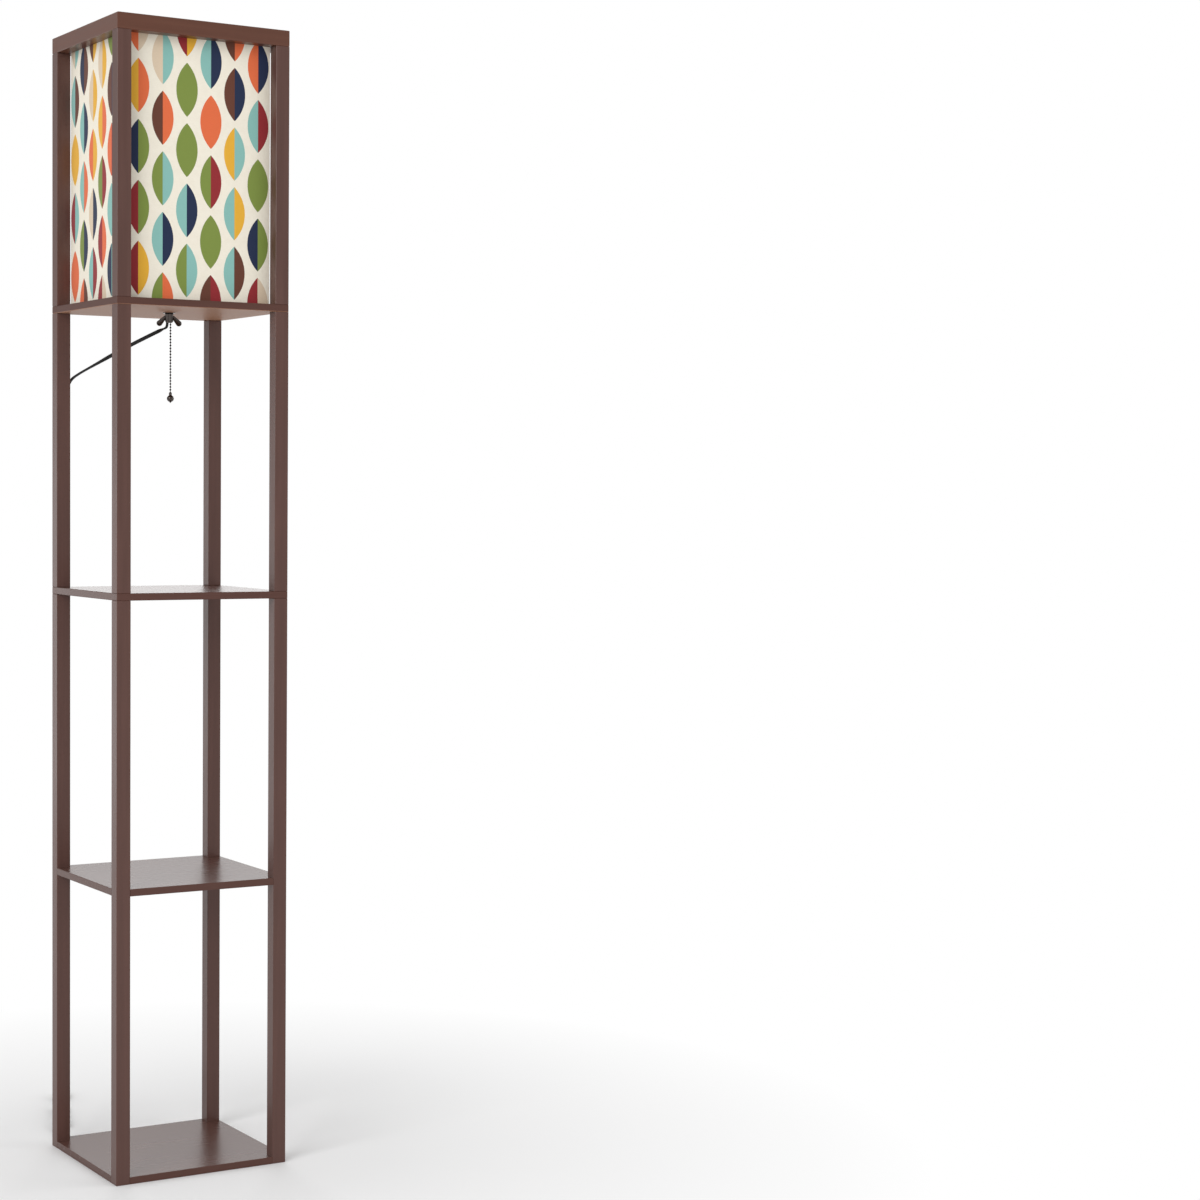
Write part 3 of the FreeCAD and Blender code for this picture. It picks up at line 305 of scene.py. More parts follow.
def opal_glass():
    """The bulb's frosted glass, which light enters a little way."""
    made = Shader("opal_glass", Base_Color=OPAL_PALE, Roughness=0.24)
    made.principled.inputs["Subsurface Weight"].default_value = 0.25
    made.principled.inputs["Subsurface Radius"].default_value = (0.01, 0.01, 0.009)
    made.principled.inputs["Coat Weight"].default_value = 0.5
    frost = made.noise(made.place(), 700.0, 2.0)
    made.set("Base Color", made.blend(made.spread(frost, 0, 0.3), OPAL_PALE, OPAL_DEEP))
    return made.bump(frost, 0.04, FINE_DEPTH)


BROWN = [srgb(85, 58, 51), srgb(92, 63, 56), srgb(80, 54, 48)]
RAIL_BROWN = [srgb(91, 55, 41), srgb(99, 61, 46), srgb(86, 51, 38)]
BOARD_BROWN = [srgb(86, 59, 52), srgb(89, 61, 54), srgb(84, 57, 51)]
# Paler and warmer than the paint: a painted reflection of light on the lamp plate's underside.
UNDERSIDE_PAINTED_REFLECTION = srgb(158, 116, 92)
PIN_WOOD = [srgb(205, 170, 120), srgb(222, 190, 142), srgb(190, 154, 108)]
WOOD_UP = painted_wood("painted_wood_upright", "Z", BROWN)
WOOD_X = painted_wood("painted_wood_across", "X", RAIL_BROWN)
WOOD_Y = painted_wood("painted_wood_deep", "Y", RAIL_BROWN)
BOARD = painted_wood("painted_board", "X", BOARD_BROWN, 0.27, 0.005, 0.16)
PLATE = painted_wood("painted_plate", "X", BOARD_BROWN, 0.4, 0.008, 0.1, UNDERSIDE_PAINTED_REFLECTION)
BARE = painted_wood("bare_pin_wood", "Z", PIN_WOOD, 0.6)
BLACK_CHROME = metal("black_chrome", srgb(86, 79, 76), 0.07)
CHAIN_CHROME = metal("chain_chrome", srgb(48, 43, 41), 0.16)
BRIGHT = metal("nickelled_brass", srgb(214, 200, 160), 0.24, grain=(300, 300, 2200))
ZINC = metal("zinc_plate", srgb(190, 190, 186), 0.38)
WIRE = moulding("coated_wire", srgb(228, 226, 216), 0.4, lift=1.05)
ENAMEL = moulding("black_enamel", srgb(30, 29, 28), 0.32, 0.4)
BLACK_PLASTIC = moulding("black_plastic", srgb(26, 26, 26), 0.42, 0.15)
CORD_BLACK = moulding("cord_black", srgb(13, 12, 12), 0.5)
CORD_BLACK.node_tree.nodes["Principled BSDF"].inputs["Specular IOR Level"].default_value = 0.3
PAPER = moulding("pressed_paper", srgb(206, 196, 172), 0.9, lift=1.15)
BACKING = moulding("shade_backing", srgb(242, 239, 230), 0.55, lift=1.03)
OPAL = opal_glass()

# Each node's material; the posts, which aren't named here, get the upright wood.
FINISH = {
    "base_board": BOARD, "lower_shelf": BOARD, "middle_shelf": BOARD, "lamp_plate": PLATE,
    "top_rail_front": WOOD_X, "top_rail_back": WOOD_X,
    "top_rail_left": WOOD_Y, "top_rail_right": WOOD_Y,
    "base_dowels": BARE, "lower_shelf_dowels": BARE, "rail_dowels": BARE,
    "middle_studs": ZINC, "lamp_plate_studs": ZINC, "lock_nut": ZINC, "lever_pin": ZINC,
    "nipple": BLACK_CHROME, "washer": BLACK_CHROME, "wing_nut": BLACK_CHROME,
    "chain_top": CHAIN_CHROME, "chain_drop": CHAIN_CHROME, "pull_ball": BLACK_CHROME,
    "socket_cap": ENAMEL, "socket_shell": ENAMEL, "socket_insulator": BLACK_PLASTIC,
    "socket_liner": PAPER, "screw_shell": BRIGHT, "centre_contact": BRIGHT, "switch_lever": BRIGHT,
    "bulb_base": BRIGHT, "bulb_glass": OPAL, "plug_blades": BRIGHT,
    "cord_lead": CORD_BLACK, "strain_relief": CORD_BLACK, "cord": CORD_BLACK, "cord_hank": CORD_BLACK,
    "hank_tie": CORD_BLACK, "plug_body": BLACK_PLASTIC, "cable_clips": BLACK_PLASTIC,
    "shade_fabric": BACKING, "shade_liner": BACKING,
    "shade_top_frame": WIRE, "shade_bottom_frame": WIRE,
}


def finish_nodes():
    """Gives each of the part's own solids its material."""
    for name, node in NODES.items():
        material = FINISH.get(name, WOOD_UP)
        node.data.materials.clear()
        node.data.materials.append(material)


finish_nodes()

# ------------------------------------------------------------------ meshes made of rings

MERGE_WITHIN = 0.004 * MM
ROUND_STEPS = 6
CORNERS = ((1, 1), (-1, 1), (-1, -1), (1, -1))


def ring_faces(rings, capped):
    """The faces of a tube through rings of equal count, as numbers of their places."""
    count = len(rings[0])
    faces = []
    for ring in range(len(rings) - 1):
        low, high = ring * count, (ring + 1) * count
        for index in range(count):
            after = (index + 1) % count
            faces.append((low + index, low + after, high + after, high + index))
    if capped:
        last = (len(rings) - 1) * count
        faces.append(tuple(reversed(range(count))))
        faces.append(tuple(last + index for index in range(count)))
    return faces


def join_rings(rings, capped=False):
    """A mesh through rings; places that fall together are merged, and its faces look outward."""
    mesh = bpy.data.meshes.new("rings")
    mesh.from_pydata([place for ring in rings for place in ring], [], ring_faces(rings, capped))
    build = bmesh.new()
    build.from_mesh(mesh)
    bmesh.ops.remove_doubles(build, verts=build.verts, dist=MERGE_WITHIN)
    bmesh.ops.recalc_face_normals(build, faces=build.faces)
    build.to_mesh(mesh)
    build.free()
    return mesh


def stand_in(name, meshes, material, body, node):
    """One smooth piece out of the meshes; it rides on a body in place of a node."""
    whole = bmesh.new()
    for mesh in meshes:
        whole.from_mesh(mesh)
        bpy.data.meshes.remove(mesh)
    joined = bpy.data.meshes.new(name)
    whole.to_mesh(joined)
    whole.free()
    joined.materials.append(material)
    for face in joined.polygons:
        face.use_smooth = True
    piece = show(name, joined)
    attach(piece, body)
    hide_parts(node)
    return piece


def round_profile(profile, centre, sides):
    """Rings round an upright axis from (radius, height) pairs in millimetres."""
    turns = [2 * math.pi * side / sides for side in range(sides)]
    rings = []
    for radius, height in profile:
        reach = radius * MM
        rings.append([Vector((centre.x + reach * math.cos(turn), centre.y + reach * math.sin(turn),
                              height * MM)) for turn in turns])
    return rings


def corner_turns():
    """For each place round a rounded rectangle: its corner's signs, and its angle there."""
    for quarter, (side, lift) in enumerate(CORNERS):
        for step in range(ROUND_STEPS + 1):
            yield side, lift, math.pi / 2 * (quarter + step / ROUND_STEPS)


def middle_of(node):
    low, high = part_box(node)
    return (low + high) / 2


# ------------------------------------------------------------------ cord

CORD_DIA = 5.4 * MM
CORD_THICK = 2.8 * MM
ON_FLOOR = CORD_DIA / 2

# From the end of the strain relief to the hank, in millimetres: the part's own route, with the
# free run between the nut and the back post a few millimetres higher, to lie as in the photograph.
CORD_ROUTE = [
    (-15.2, 16.2, 1179.6), (-32.8, 35.0, 1168.0), (-54.7, 58.3, 1153.0), (-77.3, 82.4, 1136.0),
    (-96.8, 104.5, 1121.5), (-103.0, 121.5, 1112.5), (-103.6, 135.0, 1094.0), (-107.5, 137.0, 1068.0),
    (-111.5, 134.0, 1040.0), (-112.5, 131.6, 1000.0), (-111.4, 131.4, 880.0), (-112.4, 131.9, 745.0),
    (-111.3, 131.4, 605.0), (-112.3, 131.8, 470.0), (-111.5, 131.4, 330.0), (-112.4, 131.8, 195.0),
    (-111.7, 131.4, 85.0), (-112.0, 131.5, 24.7), (-109.3, 139.0, 10.8), (-104.5, 152.2, 2.7),
    (-100.0, 176.1, 2.7), (-98.4, 196.8, 2.7),
]

# The cord's way out of the nipple, in the plane that it leaves in: (distance from the axis, height).
CORD_PLANE = math.radians(133.2)
CORD_EXIT = (2.9, 1194.0)
CORD_EXIT_BEND = [(2.9, 1190.2), (4.6, 1186.8), (8.0, 1185.6)]

HANK_HEADING = math.radians(70.0)
HANK_ALONG = Vector((math.cos(HANK_HEADING), math.sin(HANK_HEADING), 0))
HANK_SIDE = Vector((math.sin(HANK_HEADING), -math.cos(HANK_HEADING), 0))
HANK_START = Vector((-92.9, 211.8, 0)) * MM
HANK_RUN = 110.0 * MM
HANK_FOLD = 9.5 * MM
HANK_WAIST = 3.2 * MM
HANK_LAYER = 5.9 * MM
HANK_LIFT = 1.2 * MM
HANK_OVER = 14.0 * MM
HANK_EXIT = 36.0 * MM
PLUG_MIDDLE = 7.0 * MM
RUN_STEPS = 8
FOLD_STEPS = 6
CURVE_STEPS = 6          # between two control points of the route

# Where the flat cord twists, in metres: (start, end) of each turn that width_way names.
ON_EDGE = (0.006, 0.024)       # along the cord
FLAT_AGAIN = (0.075, 0.15)
ALONG_POST = (0.15, 0.25)
TO_HANK = (0.02, 0.09)         # heights over the floor
IN_HANK = (0.15, 0.2)          # places behind the lamp's middle


def hank_points():
    """The hank's control points: three runs, drawn in at the waist, and the folds between them."""
    near = HANK_START + HANK_ALONG * CORD_DIA + HANK_SIDE * HANK_FOLD

    def spot(along, side, height):
        return near + HANK_ALONG * along + HANK_SIDE * side + UP * height

    def run(start, end, side, low, high):
        """A run between two folds; its middle is the waist."""
        for step in range(RUN_STEPS + 1):
            share = step / RUN_STEPS
            pinch = math.sin(math.pi * share) ** 2
            reach = HANK_FOLD + (HANK_WAIST - HANK_FOLD) * pinch
            climb = (1 - math.cos(math.pi * share)) / 2
            yield spot(start + (end - start) * share, side * reach,
                       low + (high - low) * climb + HANK_LIFT * pinch)

    def fold(along, height, turn):
        """The outer points of a half turn, which start and end a half step in."""
        wide = HANK_FOLD / math.cos(math.pi / FOLD_STEPS / 2)
        for step in range(FOLD_STEPS):
            angle = -math.pi / 2 + math.pi * (step + 0.5) / FOLD_STEPS
            yield spot(along + turn * wide * math.cos(angle), turn * wide * math.sin(angle), height)

    low, high = ON_FLOOR, ON_FLOOR + HANK_LAYER
    points = [spot(-CORD_DIA, -HANK_FOLD, low)]
    points += run(0, HANK_RUN, -1, low, low)
    points += fold(HANK_RUN, low, 1)
    points += run(HANK_RUN, 0, 1, low, high)
    points += fold(0, high, -1)
    points += run(0, HANK_RUN, -1, high, high)
    # The last run goes over in an S from its own side to the hank's middle, and into the plug.
    out = HANK_RUN + HANK_OVER
    points += [spot(out, -HANK_FOLD, high),
               spot(out + HANK_EXIT * 0.35, -HANK_FOLD * 0.85, high * 0.97),
               spot(out + HANK_EXIT * 0.65, -HANK_FOLD * 0.15, PLUG_MIDDLE * 1.03),
               spot(out + HANK_EXIT, 0, PLUG_MIDDLE),
               spot(out + HANK_EXIT + CORD_DIA, 0, PLUG_MIDDLE)]
    return points


def nurbs_line(points):
    """The points along a NURBS route, and nothing else left of it."""
    data = bpy.data.curves.new("route", "CURVE")
    data.dimensions = "3D"
    data.resolution_u = CURVE_STEPS
    spline = data.splines.new("NURBS")
    spline.points.add(len(points) - 1)
    for control, point in zip(spline.points, points):
        control.co = (*point, 1)
    spline.order_u = 3
    spline.use_endpoint_u = True
    route = show("route", data)
    bpy.context.view_layer.update()
    mesh = bpy.data.meshes.new_from_object(route)
    line = [vertex.co.copy() for vertex in mesh.vertices]
    bpy.data.objects.remove(route)
    return line


LOBE_REACH = math.radians(125)      # each lobe's arc, to either side of straight out
LOBE_STEPS = 8
GROOVE_SHARE = 0.72                 # the groove's half-thickness as a share of the lobe's


def twin_section():
    """The (width, thickness) places round the flat cord: two lobes and the grooves between."""
    lobe = CORD_THICK / 2
    offset = CORD_DIA / 2 - lobe
    points = []
    for side in (1, -1):
        for step in range(LOBE_STEPS + 1):
            angle = -LOBE_REACH + 2 * LOBE_REACH * step / LOBE_STEPS
            points.append((side * (offset + lobe * math.cos(angle)), side * lobe * math.sin(angle)))
        points.append((0.0, side * lobe * GROOVE_SHARE))
    return points


def ease(value, start, end):
    """0 before the start, 1 after the end, and smooth between."""
    share = min(max((value - start) / (end - start), 0), 1)
    return share * share * (3 - 2 * share)


def width_way(point, distance):
    """The way that the flat cord's width lies at a distance along it.

    It is across the plane of its exit, twists on edge at once, then flat again, lies along the
    post's back, and is on edge in the hank.
    """
    across = Vector((math.sin(CORD_PLANE), -math.cos(CORD_PLANE), 0))
    way = across.lerp(UP, ease(distance, *ON_EDGE))
    way = way.lerp(-across, ease(distance, *FLAT_AGAIN))
    way = way.lerp(Vector((-1, 0, 0)), ease(distance, *ALONG_POST))
    way = way.lerp(-HANK_SIDE, 1 - ease(point.z, *TO_HANK))
    return way.lerp(UP, ease(point.y, *IN_HANK))


def sweep(name, line, section, way, material):
    """A closed mesh tube of a section along a line."""
    mesh = bpy.data.meshes.new(name)
    rings, distance = [], 0.0
    for index, point in enumerate(line):
        before, after = line[max(index - 1, 0)], line[min(index + 1, len(line) - 1)]
        if index:
            distance += (point - line[index - 1]).length
        ahead = (after - before).normalized()
        wide = way(point, distance)
        wide = (wide - ahead * wide.dot(ahead)).normalized()
        thick = ahead.cross(wide)
        rings.append([point + wide * a + thick * b for a, b in section])
    mesh.from_pydata([place for ring in rings for place in ring], [], ring_faces(rings, True))
    mesh.materials.append(material)
    for face in mesh.polygons:
        face.use_smooth = len(face.vertices) == 4
    return show(name, mesh)


def in_exit_plane(reach, height):
    """A place in the plane that the cord leaves in."""
    return Vector((reach * math.cos(CORD_PLANE), reach * math.sin(CORD_PLANE), height)) * MM


def make_cord():
    """The flat cord, from the nipple's mouth to its plug; it stands in for its round solids."""
    mouth = in_exit_plane(*CORD_EXIT)
    way_out = [mouth] + [in_exit_plane(*point) for point in CORD_EXIT_BEND]
    route = way_out + [Vector(point) * MM for point in CORD_ROUTE] + hank_points()
    line = nurbs_line(route)
    cord = sweep("power_cord", line, twin_section(), width_way, CORD_BLACK)
    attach(cord, "tower")
    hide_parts("cord", "cord_hank", "strain_relief")
    make_plug()
    make_tie()


# ------------------------------------------------------------------ chain, knob, nut, plug and tie

# The sizes and heights in this section are in millimetres, apart from the plug's reach and place.

BEAD_RADIUS = 1.4
BEAD_STEPS = 8
CHAIN_SIDES = 14
LINK_RADIUS = 0.45
BEAD_PITCH = 4.2
LOWEST_BEAD = 1094.6
HUNG_BEADS = 24
INNER_BEADS = 11
CHAIN_MOUTH = 1193.7


def bead_profile(middles, foot, top):
    """A string of balls on a thin link, from its foot to its top."""
    profile = [(0.0, foot)]
    entry = math.asin(LINK_RADIUS / BEAD_RADIUS)
    for middle in middles:
        for step in range(BEAD_STEPS + 1):
            angle = entry + (math.pi - 2 * entry) * step / BEAD_STEPS
            profile.append((BEAD_RADIUS * math.sin(angle), middle - BEAD_RADIUS * math.cos(angle)))
    return profile + [(LINK_RADIUS, top), (0.0, top)]


def make_chain():
    """The hanging beads, and those in the bore, whose topmost stands one bead's place apart."""
    hung = [LOWEST_BEAD + BEAD_PITCH * step for step in range(HUNG_BEADS)]
    first_inner = LOWEST_BEAD + BEAD_PITCH * HUNG_BEADS
    inner = [first_inner + BEAD_PITCH * step for step in range(INNER_BEADS)]
    inner.append(first_inner + BEAD_PITCH * (INNER_BEADS + 1))
    centre = middle_of("chain_drop")
    hanging = bead_profile(hung, LOWEST_BEAD - BEAD_RADIUS, CHAIN_MOUTH)
    stand_in("chain_beads", [join_rings(round_profile(hanging, centre, CHAIN_SIDES))],
             CHAIN_CHROME, "chain_hang", "chain_drop")
    inside = bead_profile(inner, first_inner - BEAD_RADIUS, inner[-1] + BEAD_RADIUS)
    stand_in("inner_chain_beads", [join_rings(round_profile(inside, centre, CHAIN_SIDES))],
             CHAIN_CHROME, "chain_slide", "chain_top")


KNOB_RADIUS = 5.0
KNOB_MIDDLE = 1086.5
KNOB_START = 20          # the ball's arc, in degrees from straight down
KNOB_END = 156
KNOB_STEPS = 18
KNOB_SIDES = 28
# (radius, height) round the knob's axis, in millimetres, below the ball and above it.
KNOB_POINT = [(0.0, 1080.1), (0.35, 1080.15), (0.62, 1080.45), (0.78, 1080.9), (1.05, 1081.35),
              (1.6, 1081.7)]
FERRULE = [(2.1, 1091.1), (2.1, 1094.5), (2.0, 1094.85), (1.75, 1095.0), (1.5, 1094.85),
           (1.5, 1093.1), (0.0, 1093.05)]


def make_knob():
    """The pull knob: a ball with a small point below and a ferrule that holds the last bead."""
    ball = []
    for step in range(1, KNOB_STEPS + 1):
        angle = math.radians(KNOB_START + (KNOB_END - KNOB_START) * step / KNOB_STEPS)
        ball.append((KNOB_RADIUS * math.sin(angle), KNOB_MIDDLE - KNOB_RADIUS * math.cos(angle)))
    profile = KNOB_POINT + ball + FERRULE
    rings = round_profile(profile, middle_of("pull_ball"), KNOB_SIDES)
    stand_in("pull_knob", [join_rings(rings)], BLACK_CHROME, "chain_hang", "pull_ball")


NUT_TOP = 1206.7
NUT_HEADING = math.radians(-21.7)
HUB_SIDES = 40
# (radius, height over the nut's top) round the hub, in millimetres.
HUB = [(4.8, -0.2), (5.1, 0.0), (6.0, 0.0), (6.25, -0.25), (6.2, -1.2), (5.95, -1.5), (5.72, -10.9),
       (5.6, -11.4), (5.2, -11.7), (4.95, -11.65), (4.8, -11.4), (4.8, -0.2)]
# A wing's two rounds: how far out, how high over the nut's top, and the radius.
WING_ROOT = (5.4, -4.6, 2.2)
WING_TIP = (13.5, -13.6, 4.1)
# From a wing's edge over its rolled rim to its dished face: (inset, half-thickness).
WING_SKIN = [(0.0, 0.0), (0.05, 0.55), (0.25, 0.95), (0.6, 1.18), (0.95, 1.14), (1.3, 0.92),
             (1.7, 0.7), (1.95, 0.64)]
TIP_STEPS = 20
ROOT_STEPS = 10


def wing_outline(inset):
    """The places round a wing's face, (out, up), drawn in by an inset."""
    span = Vector((WING_TIP[0] - WING_ROOT[0], WING_TIP[1] - WING_ROOT[1]))
    lean = math.asin((WING_TIP[2] - WING_ROOT[2]) / span.length)
    way = math.atan2(span.y, span.x)
    points = []
    arcs = ((WING_TIP, way - math.pi / 2 - lean, math.pi + 2 * lean, TIP_STEPS),
            (WING_ROOT, way + math.pi / 2 + lean, math.pi - 2 * lean, ROOT_STEPS))
    for (out, up, radius), start, turn, steps in arcs:
        for step in range(steps):
            angle = start + turn * step / (steps - 1)
            reach = radius - inset
            points.append((out + reach * math.cos(angle), up + reach * math.sin(angle)))
    return points


def make_wing_nut():
    """A smooth hub and two teardrop wings with dished faces and rolled rims."""
    hub = [(radius, NUT_TOP + height) for radius, height in HUB]
    meshes = [join_rings(round_profile(hub, Vector((0, 0, 0)), HUB_SIDES))]
    skin = list(reversed(WING_SKIN)) + [(inset, -half) for inset, half in WING_SKIN[1:]]
    for heading in (NUT_HEADING, NUT_HEADING + math.pi):
        out = Vector((math.cos(heading), math.sin(heading), 0))
        side = Vector((-math.sin(heading), math.cos(heading), 0))
        rings = []
        for inset, half in skin:
            rings.append([(out * reach + UP * (NUT_TOP + rise) + side * half) * MM
                          for reach, rise in wing_outline(inset)])
        meshes.append(join_rings(rings, capped=True))
    stand_in("winged_nut", meshes, BLACK_CHROME, "wing_nut", "wing_nut")


PLUG_REACH = 2 * CORD_DIA + HANK_RUN + HANK_OVER + HANK_EXIT
PLUG_PLACE = HANK_START + HANK_ALONG * PLUG_REACH + HANK_SIDE * HANK_FOLD
NECK_END = 7
NECK_ROUND = 0.48        # a corner's radius, as a share of the lesser of width and height
BODY_ROUND = 0.30
# Stations from the cord's end to the blades' face: (along, width, height), in millimetres.
PLUG_BODY = [
    (0.3, 6.6, 6.6), (0.0, 7.2, 7.2), (1.2, 7.9, 7.9), (2.0, 7.9, 7.9), (2.5, 7.1, 7.1),
    (3.5, 7.2, 7.2), (4.0, 8.5, 8.4), (5.0, 8.6, 8.5), (5.5, 7.8, 7.7), (6.5, 8.0, 7.9),
    (7.0, 9.6, 9.2), (8.5, 12.4, 10.6), (11.0, 18.4, 12.9), (13.0, 20.9, 13.6), (16.0, 21.4, 13.5),
    (19.5, 20.0, 11.9), (23.0, 19.6, 11.5), (27.0, 20.6, 12.5), (29.5, 22.0, 14.0),
    (33.0, 22.0, 14.0), (33.7, 21.6, 13.6), (34.0, 20.6, 12.6),
]


def make_plug():
    """A moulded plug with a ribbed neck, a waist to grip and a rim round the blades' face."""
    rings = []
    for along, wide, tall in PLUG_BODY:
        bend = min(wide, tall) * (NECK_ROUND if along < NECK_END else BODY_ROUND)
        ring = []
        for side, lift, angle in corner_turns():
            across = side * (wide / 2 - bend) + bend * math.cos(angle)
            up = lift * (tall / 2 - bend) + bend * math.sin(angle)
            ring.append(PLUG_PLACE + HANK_ALONG * along * MM + HANK_SIDE * across * MM
                        + UP * (PLUG_MIDDLE + up * MM))
        rings.append(ring)
    return stand_in("moulded_plug", [join_rings(rings, capped=True)], BLACK_PLASTIC,
                    "tower", "plug_body")


TIE_ACROSS = 12.4
TIE_TALL = 11.9
TIE_BEND = 2.7
TIE_THICK = 0.9
TIE_HALF_WIDTH = 3.0
# Round the strap's section, with beaded edges: (share of the half-width, share of the thickness).
TIE_BAND = [(-1.0, 0.35), (-0.8, 0.08), (-0.55, 0.22), (0.55, 0.22), (0.8, 0.08), (1.0, 0.35),
            (1.0, 0.65), (0.8, 0.95), (0.55, 0.8), (-0.55, 0.8), (-0.8, 0.95), (-1.0, 0.65)]
# The strap's loose end: its length in millimetres, and shares of the strap's thickness and width.
TAB_LONG = 7.5
TAB_STEPS = 8
TAB_SINK = 0.15
TAB_THINNING = 0.35
TAB_WIDTH = 0.9
TAB_ROUND = 0.7          # its tip is rounded from this share of its length on
TAB_TIP = 0.02           # what the square of the tip's width doesn't fall below


def make_tie():
    """A soft strap round the hank's waist, with beaded edges and its end laid over the top."""
    middle = middle_of("hank_tie")
    foot = TIE_THICK

    def place(across, up, along):
        return (Vector((middle.x, middle.y, 0)) + HANK_SIDE * across * MM + UP * up * MM
                + HANK_ALONG * along * MM)

    loop = []
    for side, lift, angle in corner_turns():
        bend_x = side * (TIE_ACROSS / 2 - TIE_BEND)
        bend_z = foot + TIE_TALL / 2 + lift * (TIE_TALL / 2 - TIE_BEND)
        ring = []
        for along, out in TIE_BAND:
            reach = TIE_BEND + out * TIE_THICK
            ring.append(place(bend_x + reach * math.cos(angle), bend_z + reach * math.sin(angle),
                              along * TIE_HALF_WIDTH))
        loop.append(ring)
    loop.append(loop[0])

    top = foot + TIE_TALL + TIE_THICK
    tab = []
    for step in range(TAB_STEPS + 1):
        share = step / TAB_STEPS
        past = max((share - TAB_ROUND) / (1 - TAB_ROUND), 0)
        half_width = TIE_HALF_WIDTH * TAB_WIDTH * math.sqrt(max(1 - past ** 2, TAB_TIP))
        thick = TIE_THICK * (1 - TAB_THINNING * share)
        tab.append([place(TAB_LONG * (share - 0.5), top - TIE_THICK * TAB_SINK + out * thick,
                          along * half_width) for along, out in TIE_BAND])
    return stand_in("hank_strap", [join_rings(loop), join_rings(tab, capped=True)], CORD_BLACK,
                    "tower", "hank_tie")


make_cord()
make_chain()
make_knob()
make_wing_nut()

# ------------------------------------------------------------------ shade

LEAF_COLOURS = [srgb(8, 30, 66), srgb(132, 184, 176), srgb(226, 170, 46), srgb(142, 26, 34),
                srgb(222, 104, 58), srgb(120, 138, 58), srgb(96, 50, 32), srgb(216, 196, 170)]
CREAM = srgb(242, 236, 221)
CREAM_DEEP = srgb(234, 226, 208)
COLUMN = 35.5 * MM
ROW = 82.6 * MM
LEAF_LONG = 37.0 * MM      # from a leaf's middle to its tip
LEAF_WIDE = 15.8 * MM      # from its midrib to its edge
LEAF_WOBBLE = 0.5 * MM     # how far a leaf's printed edge strays
THREAD = 0.9 * MM


def leaf_spot(made, across, up):
    """Which column and row of leaves a place is in, and where it is from that leaf's middle."""
    columns = made.maths("DIVIDE", across, COLUMN)
    column = made.maths("FLOOR", columns)
    shift = made.maths("MULTIPLY", made.maths("MODULO", column, 2.0), 0.5)
    rows = made.maths("ADD", made.maths("DIVIDE", up, ROW), shift)
    row = made.maths("FLOOR", rows)
    x = made.maths("MULTIPLY", made.maths("SUBTRACT", made.maths("FRACT", columns), 0.5), COLUMN)
    y = made.maths("MULTIPLY", made.maths("SUBTRACT", made.maths("FRACT", rows), 0.5), ROW)
    return column, row, x, y


def inside_leaf(made, x, y):
    """1 within a leaf, which is where two circles overlap; each one's centre is past the midrib."""
    radius = (LEAF_LONG ** 2 + LEAF_WIDE ** 2) / (2 * LEAF_WIDE)
    stray = made.maths("SUBTRACT", made.noise(made.place(), 400.0), 0.5)
    wobble = made.maths("MULTIPLY", stray, LEAF_WOBBLE)
    past = made.maths("ADD", made.maths("ABSOLUTE", x), radius - LEAF_WIDE)
    square = made.maths("ADD", made.maths("MULTIPLY", past, past), made.maths("MULTIPLY", y, y))
    return made.maths("LESS_THAN", made.maths("ADD", made.maths("SQRT", square), wobble), radius)


def leaf_colour(made, column, row, x):
    """A colour for each half of each leaf."""
    side = made.maths("GREATER_THAN", x, 0.0)
    seed = made.add("CombineXYZ", {"X": column, "Y": row, "Z": side})
    pick = made.add("TexWhiteNoise", {"Vector": seed}, noise_dimensions="3D")
    ramp = made.tree.nodes.new("ShaderNodeValToRGB")
    ramp.color_ramp.interpolation = "CONSTANT"
    stops = ramp.color_ramp.elements
    while len(stops) < len(LEAF_COLOURS):
        stops.new(0.5)
    for index, colour in enumerate(LEAF_COLOURS):
        stops[index].position = index / len(LEAF_COLOURS)
        stops[index].color = colour
    made.feed(ramp.inputs[0], pick)
    return ramp.outputs[0]


def thread_height(made, across, up):
    """The weave: warp and weft threads that cross over and under, with slubs."""
    warp = made.maths("ABSOLUTE", made.maths("SINE", made.maths("MULTIPLY", across, math.pi / THREAD)))
    weft = made.maths("ABSOLUTE", made.maths("SINE", made.maths("MULTIPLY", up, math.pi / THREAD)))
    slub = made.noise(made.place((260, 260, 1400)), 1.0, 2.0)
    weave = made.maths("MULTIPLY", made.maths("ADD", warp, weft), 0.5)
    return made.maths("ADD", weave, made.maths("MULTIPLY", slub, 0.6))


def printed_linen():
    """Cream linen printed with upright two-tone leaves, each column half a step from the last."""
    made = Shader("printed_linen", Roughness=0.85)
    made.principled.inputs["Sheen Weight"].default_value = 0.15
    parts = made.split(made.add("UVMap", uv_map="metres"))
    across, up = parts["X"], parts["Y"]
    column, row, x, y = leaf_spot(made, across, up)
    cloth = made.blend(made.noise(made.place(), 120.0), CREAM, CREAM_DEEP)
    printed = made.blend(inside_leaf(made, x, y), cloth, leaf_colour(made, column, row, x))
    thread = thread_height(made, across, up)
    # The cloth's colour follows the threads' height. It is darker where the weave lies low, which is
    # painted shade between the threads. It is a touch lighter on the raised threads and slubs, which
    # is a painted highlight.
    shade = made.spread(thread, 0.86, 1.03, 0.2, 1.3)
    made.set("Base Color", made.add("VectorMath", {0: printed, "Scale": shade}, operation="SCALE"))
    return made.bump(thread, 0.35, COARSE_DEPTH)


LINEN = printed_linen()
SHADE_CORNER = 0.7 * MM
SHADE_HEM = 7.0 * MM
HEM_LIFT = 0.12 * MM       # how far the hem stands out
HEM_STEP = 0.5 * MM        # the height in which it does
HEM_EDGE = 0.6 * MM
FABRIC_THICK = 0.6 * MM
BODY_ROWS = 24
FACE_STEPS = 14
CORNER_STEPS = 4
SHADE_CORNERS = ((-1, 1), (-1, -1), (1, -1), (1, 1))


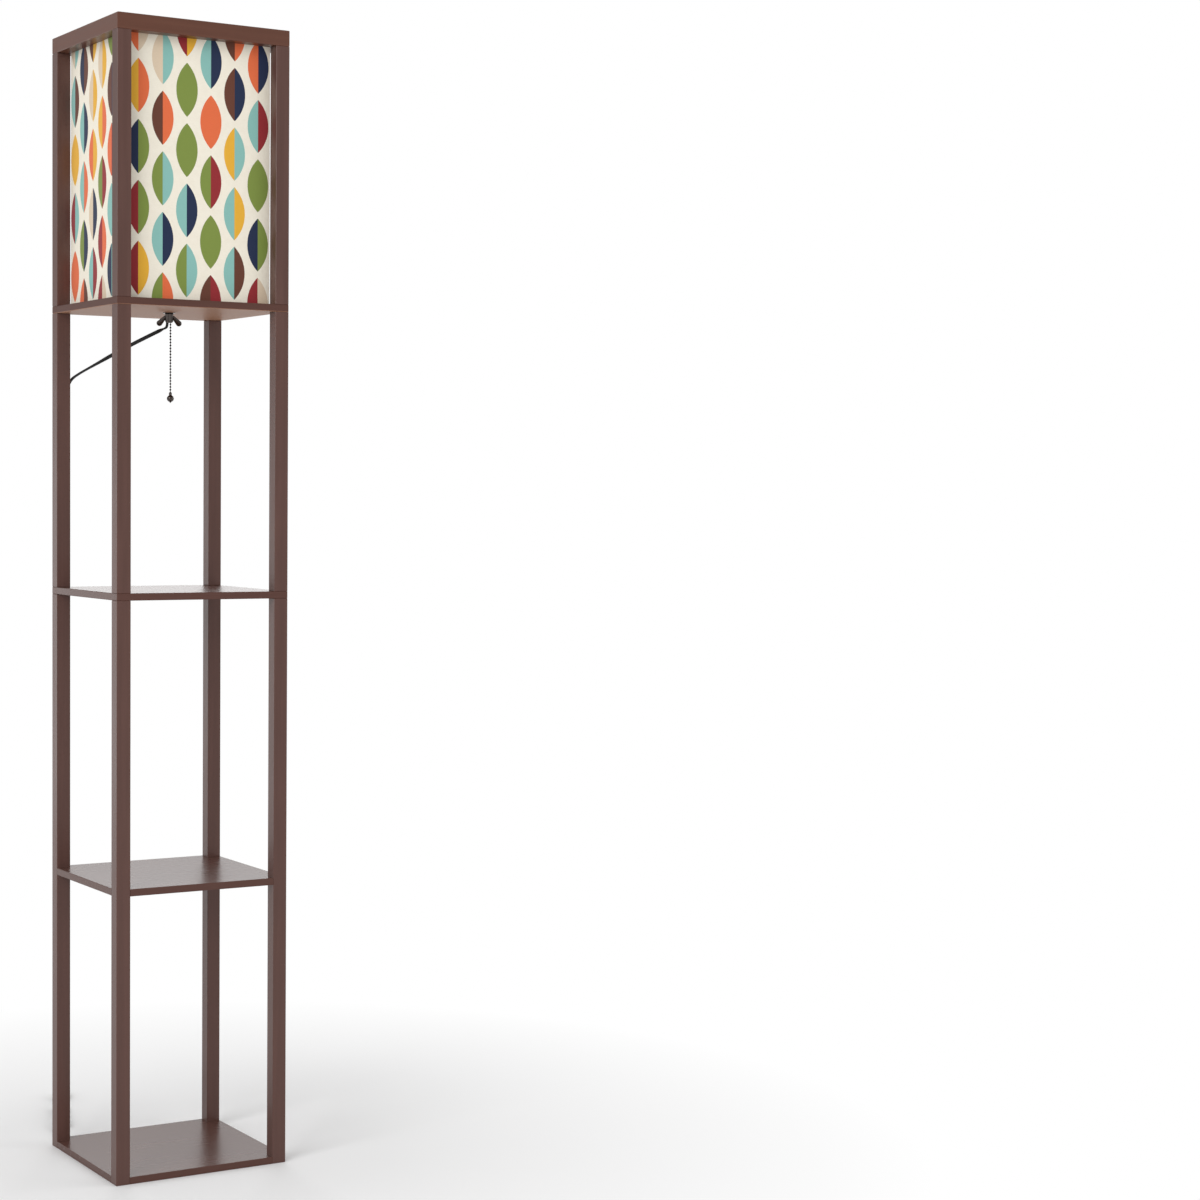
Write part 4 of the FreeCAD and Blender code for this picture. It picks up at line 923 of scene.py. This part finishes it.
def square_round(half_x, half_y, bend):
    """The places round a rounded rectangle, from the back left corner, counterclockwise."""
    arcs = []
    for quarter, (side_x, side_y) in enumerate(SHADE_CORNERS):
        centre_x, centre_y = side_x * (half_x - bend), side_y * (half_y - bend)
        start = math.pi / 2 + quarter * math.pi / 2
        angles = [start + math.pi / 2 * step / CORNER_STEPS for step in range(CORNER_STEPS + 1)]
        arcs.append([(centre_x + bend * math.cos(angle), centre_y + bend * math.sin(angle))
                     for angle in angles])
    points = []
    for arc, following in zip(arcs, arcs[1:] + arcs[:1]):
        points += arc
        here, stop = arc[-1], following[0]
        for step in range(1, FACE_STEPS):
            share = step / FACE_STEPS
            points.append((here[0] + (stop[0] - here[0]) * share,
                           here[1] + (stop[1] - here[1]) * share))
    return points


def shade_rows(tall):
    """The heights of the shade's rows of places: close together at both hems."""
    hem = [0.0, HEM_EDGE, SHADE_HEM - HEM_STEP, SHADE_HEM]
    body = [SHADE_HEM + (tall - 2 * SHADE_HEM) * step / BODY_ROWS for step in range(1, BODY_ROWS)]
    return hem + body + [tall - height for height in reversed(hem)]


def make_shade():
    """The printed sheet, with a hem above and below; its UV map is its flat size in metres."""
    low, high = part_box("shade_fabric")
    half_x, half_y = high.x - HEM_LIFT, high.y - HEM_LIFT
    around = square_round(half_x, half_y, SHADE_CORNER)
    tall = high.z - low.z
    heights = shade_rows(tall)
    mesh = bpy.data.meshes.new("printed_shade")
    build = bmesh.new()
    uv = build.loops.layers.uv.new("metres")
    run = [0.0]
    closed = around + around[:1]
    for before, after in zip(closed, closed[1:]):
        run.append(run[-1] + math.dist(before, after))
    grid = []
    for height in heights:
        in_hem = min(height, tall - height) < SHADE_HEM - HEM_STEP / 2
        grow = 1 + (HEM_LIFT / half_x if in_hem else 0)
        grid.append([build.verts.new((x * grow, y * grow, low.z + height)) for x, y in around])
    count = len(around)
    for row in range(len(heights) - 1):
        for index in range(count):
            after = (index + 1) % count
            face = build.faces.new((grid[row][index], grid[row][after],
                                    grid[row + 1][after], grid[row + 1][index]))
            face.smooth = True
            places = ((run[index], heights[row]), (run[index + 1], heights[row]),
                      (run[index + 1], heights[row + 1]), (run[index], heights[row + 1]))
            for loop, spot in zip(face.loops, places):
                loop[uv].uv = spot
    build.to_mesh(mesh)
    build.free()
    mesh.materials.append(LINEN)
    shade = show("printed_shade", mesh)
    solid = shade.modifiers.new("thickness", "SOLIDIFY")
    solid.thickness = FABRIC_THICK
    solid.offset = -1
    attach(shade, "tower")
    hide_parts("shade_fabric")


make_shade()
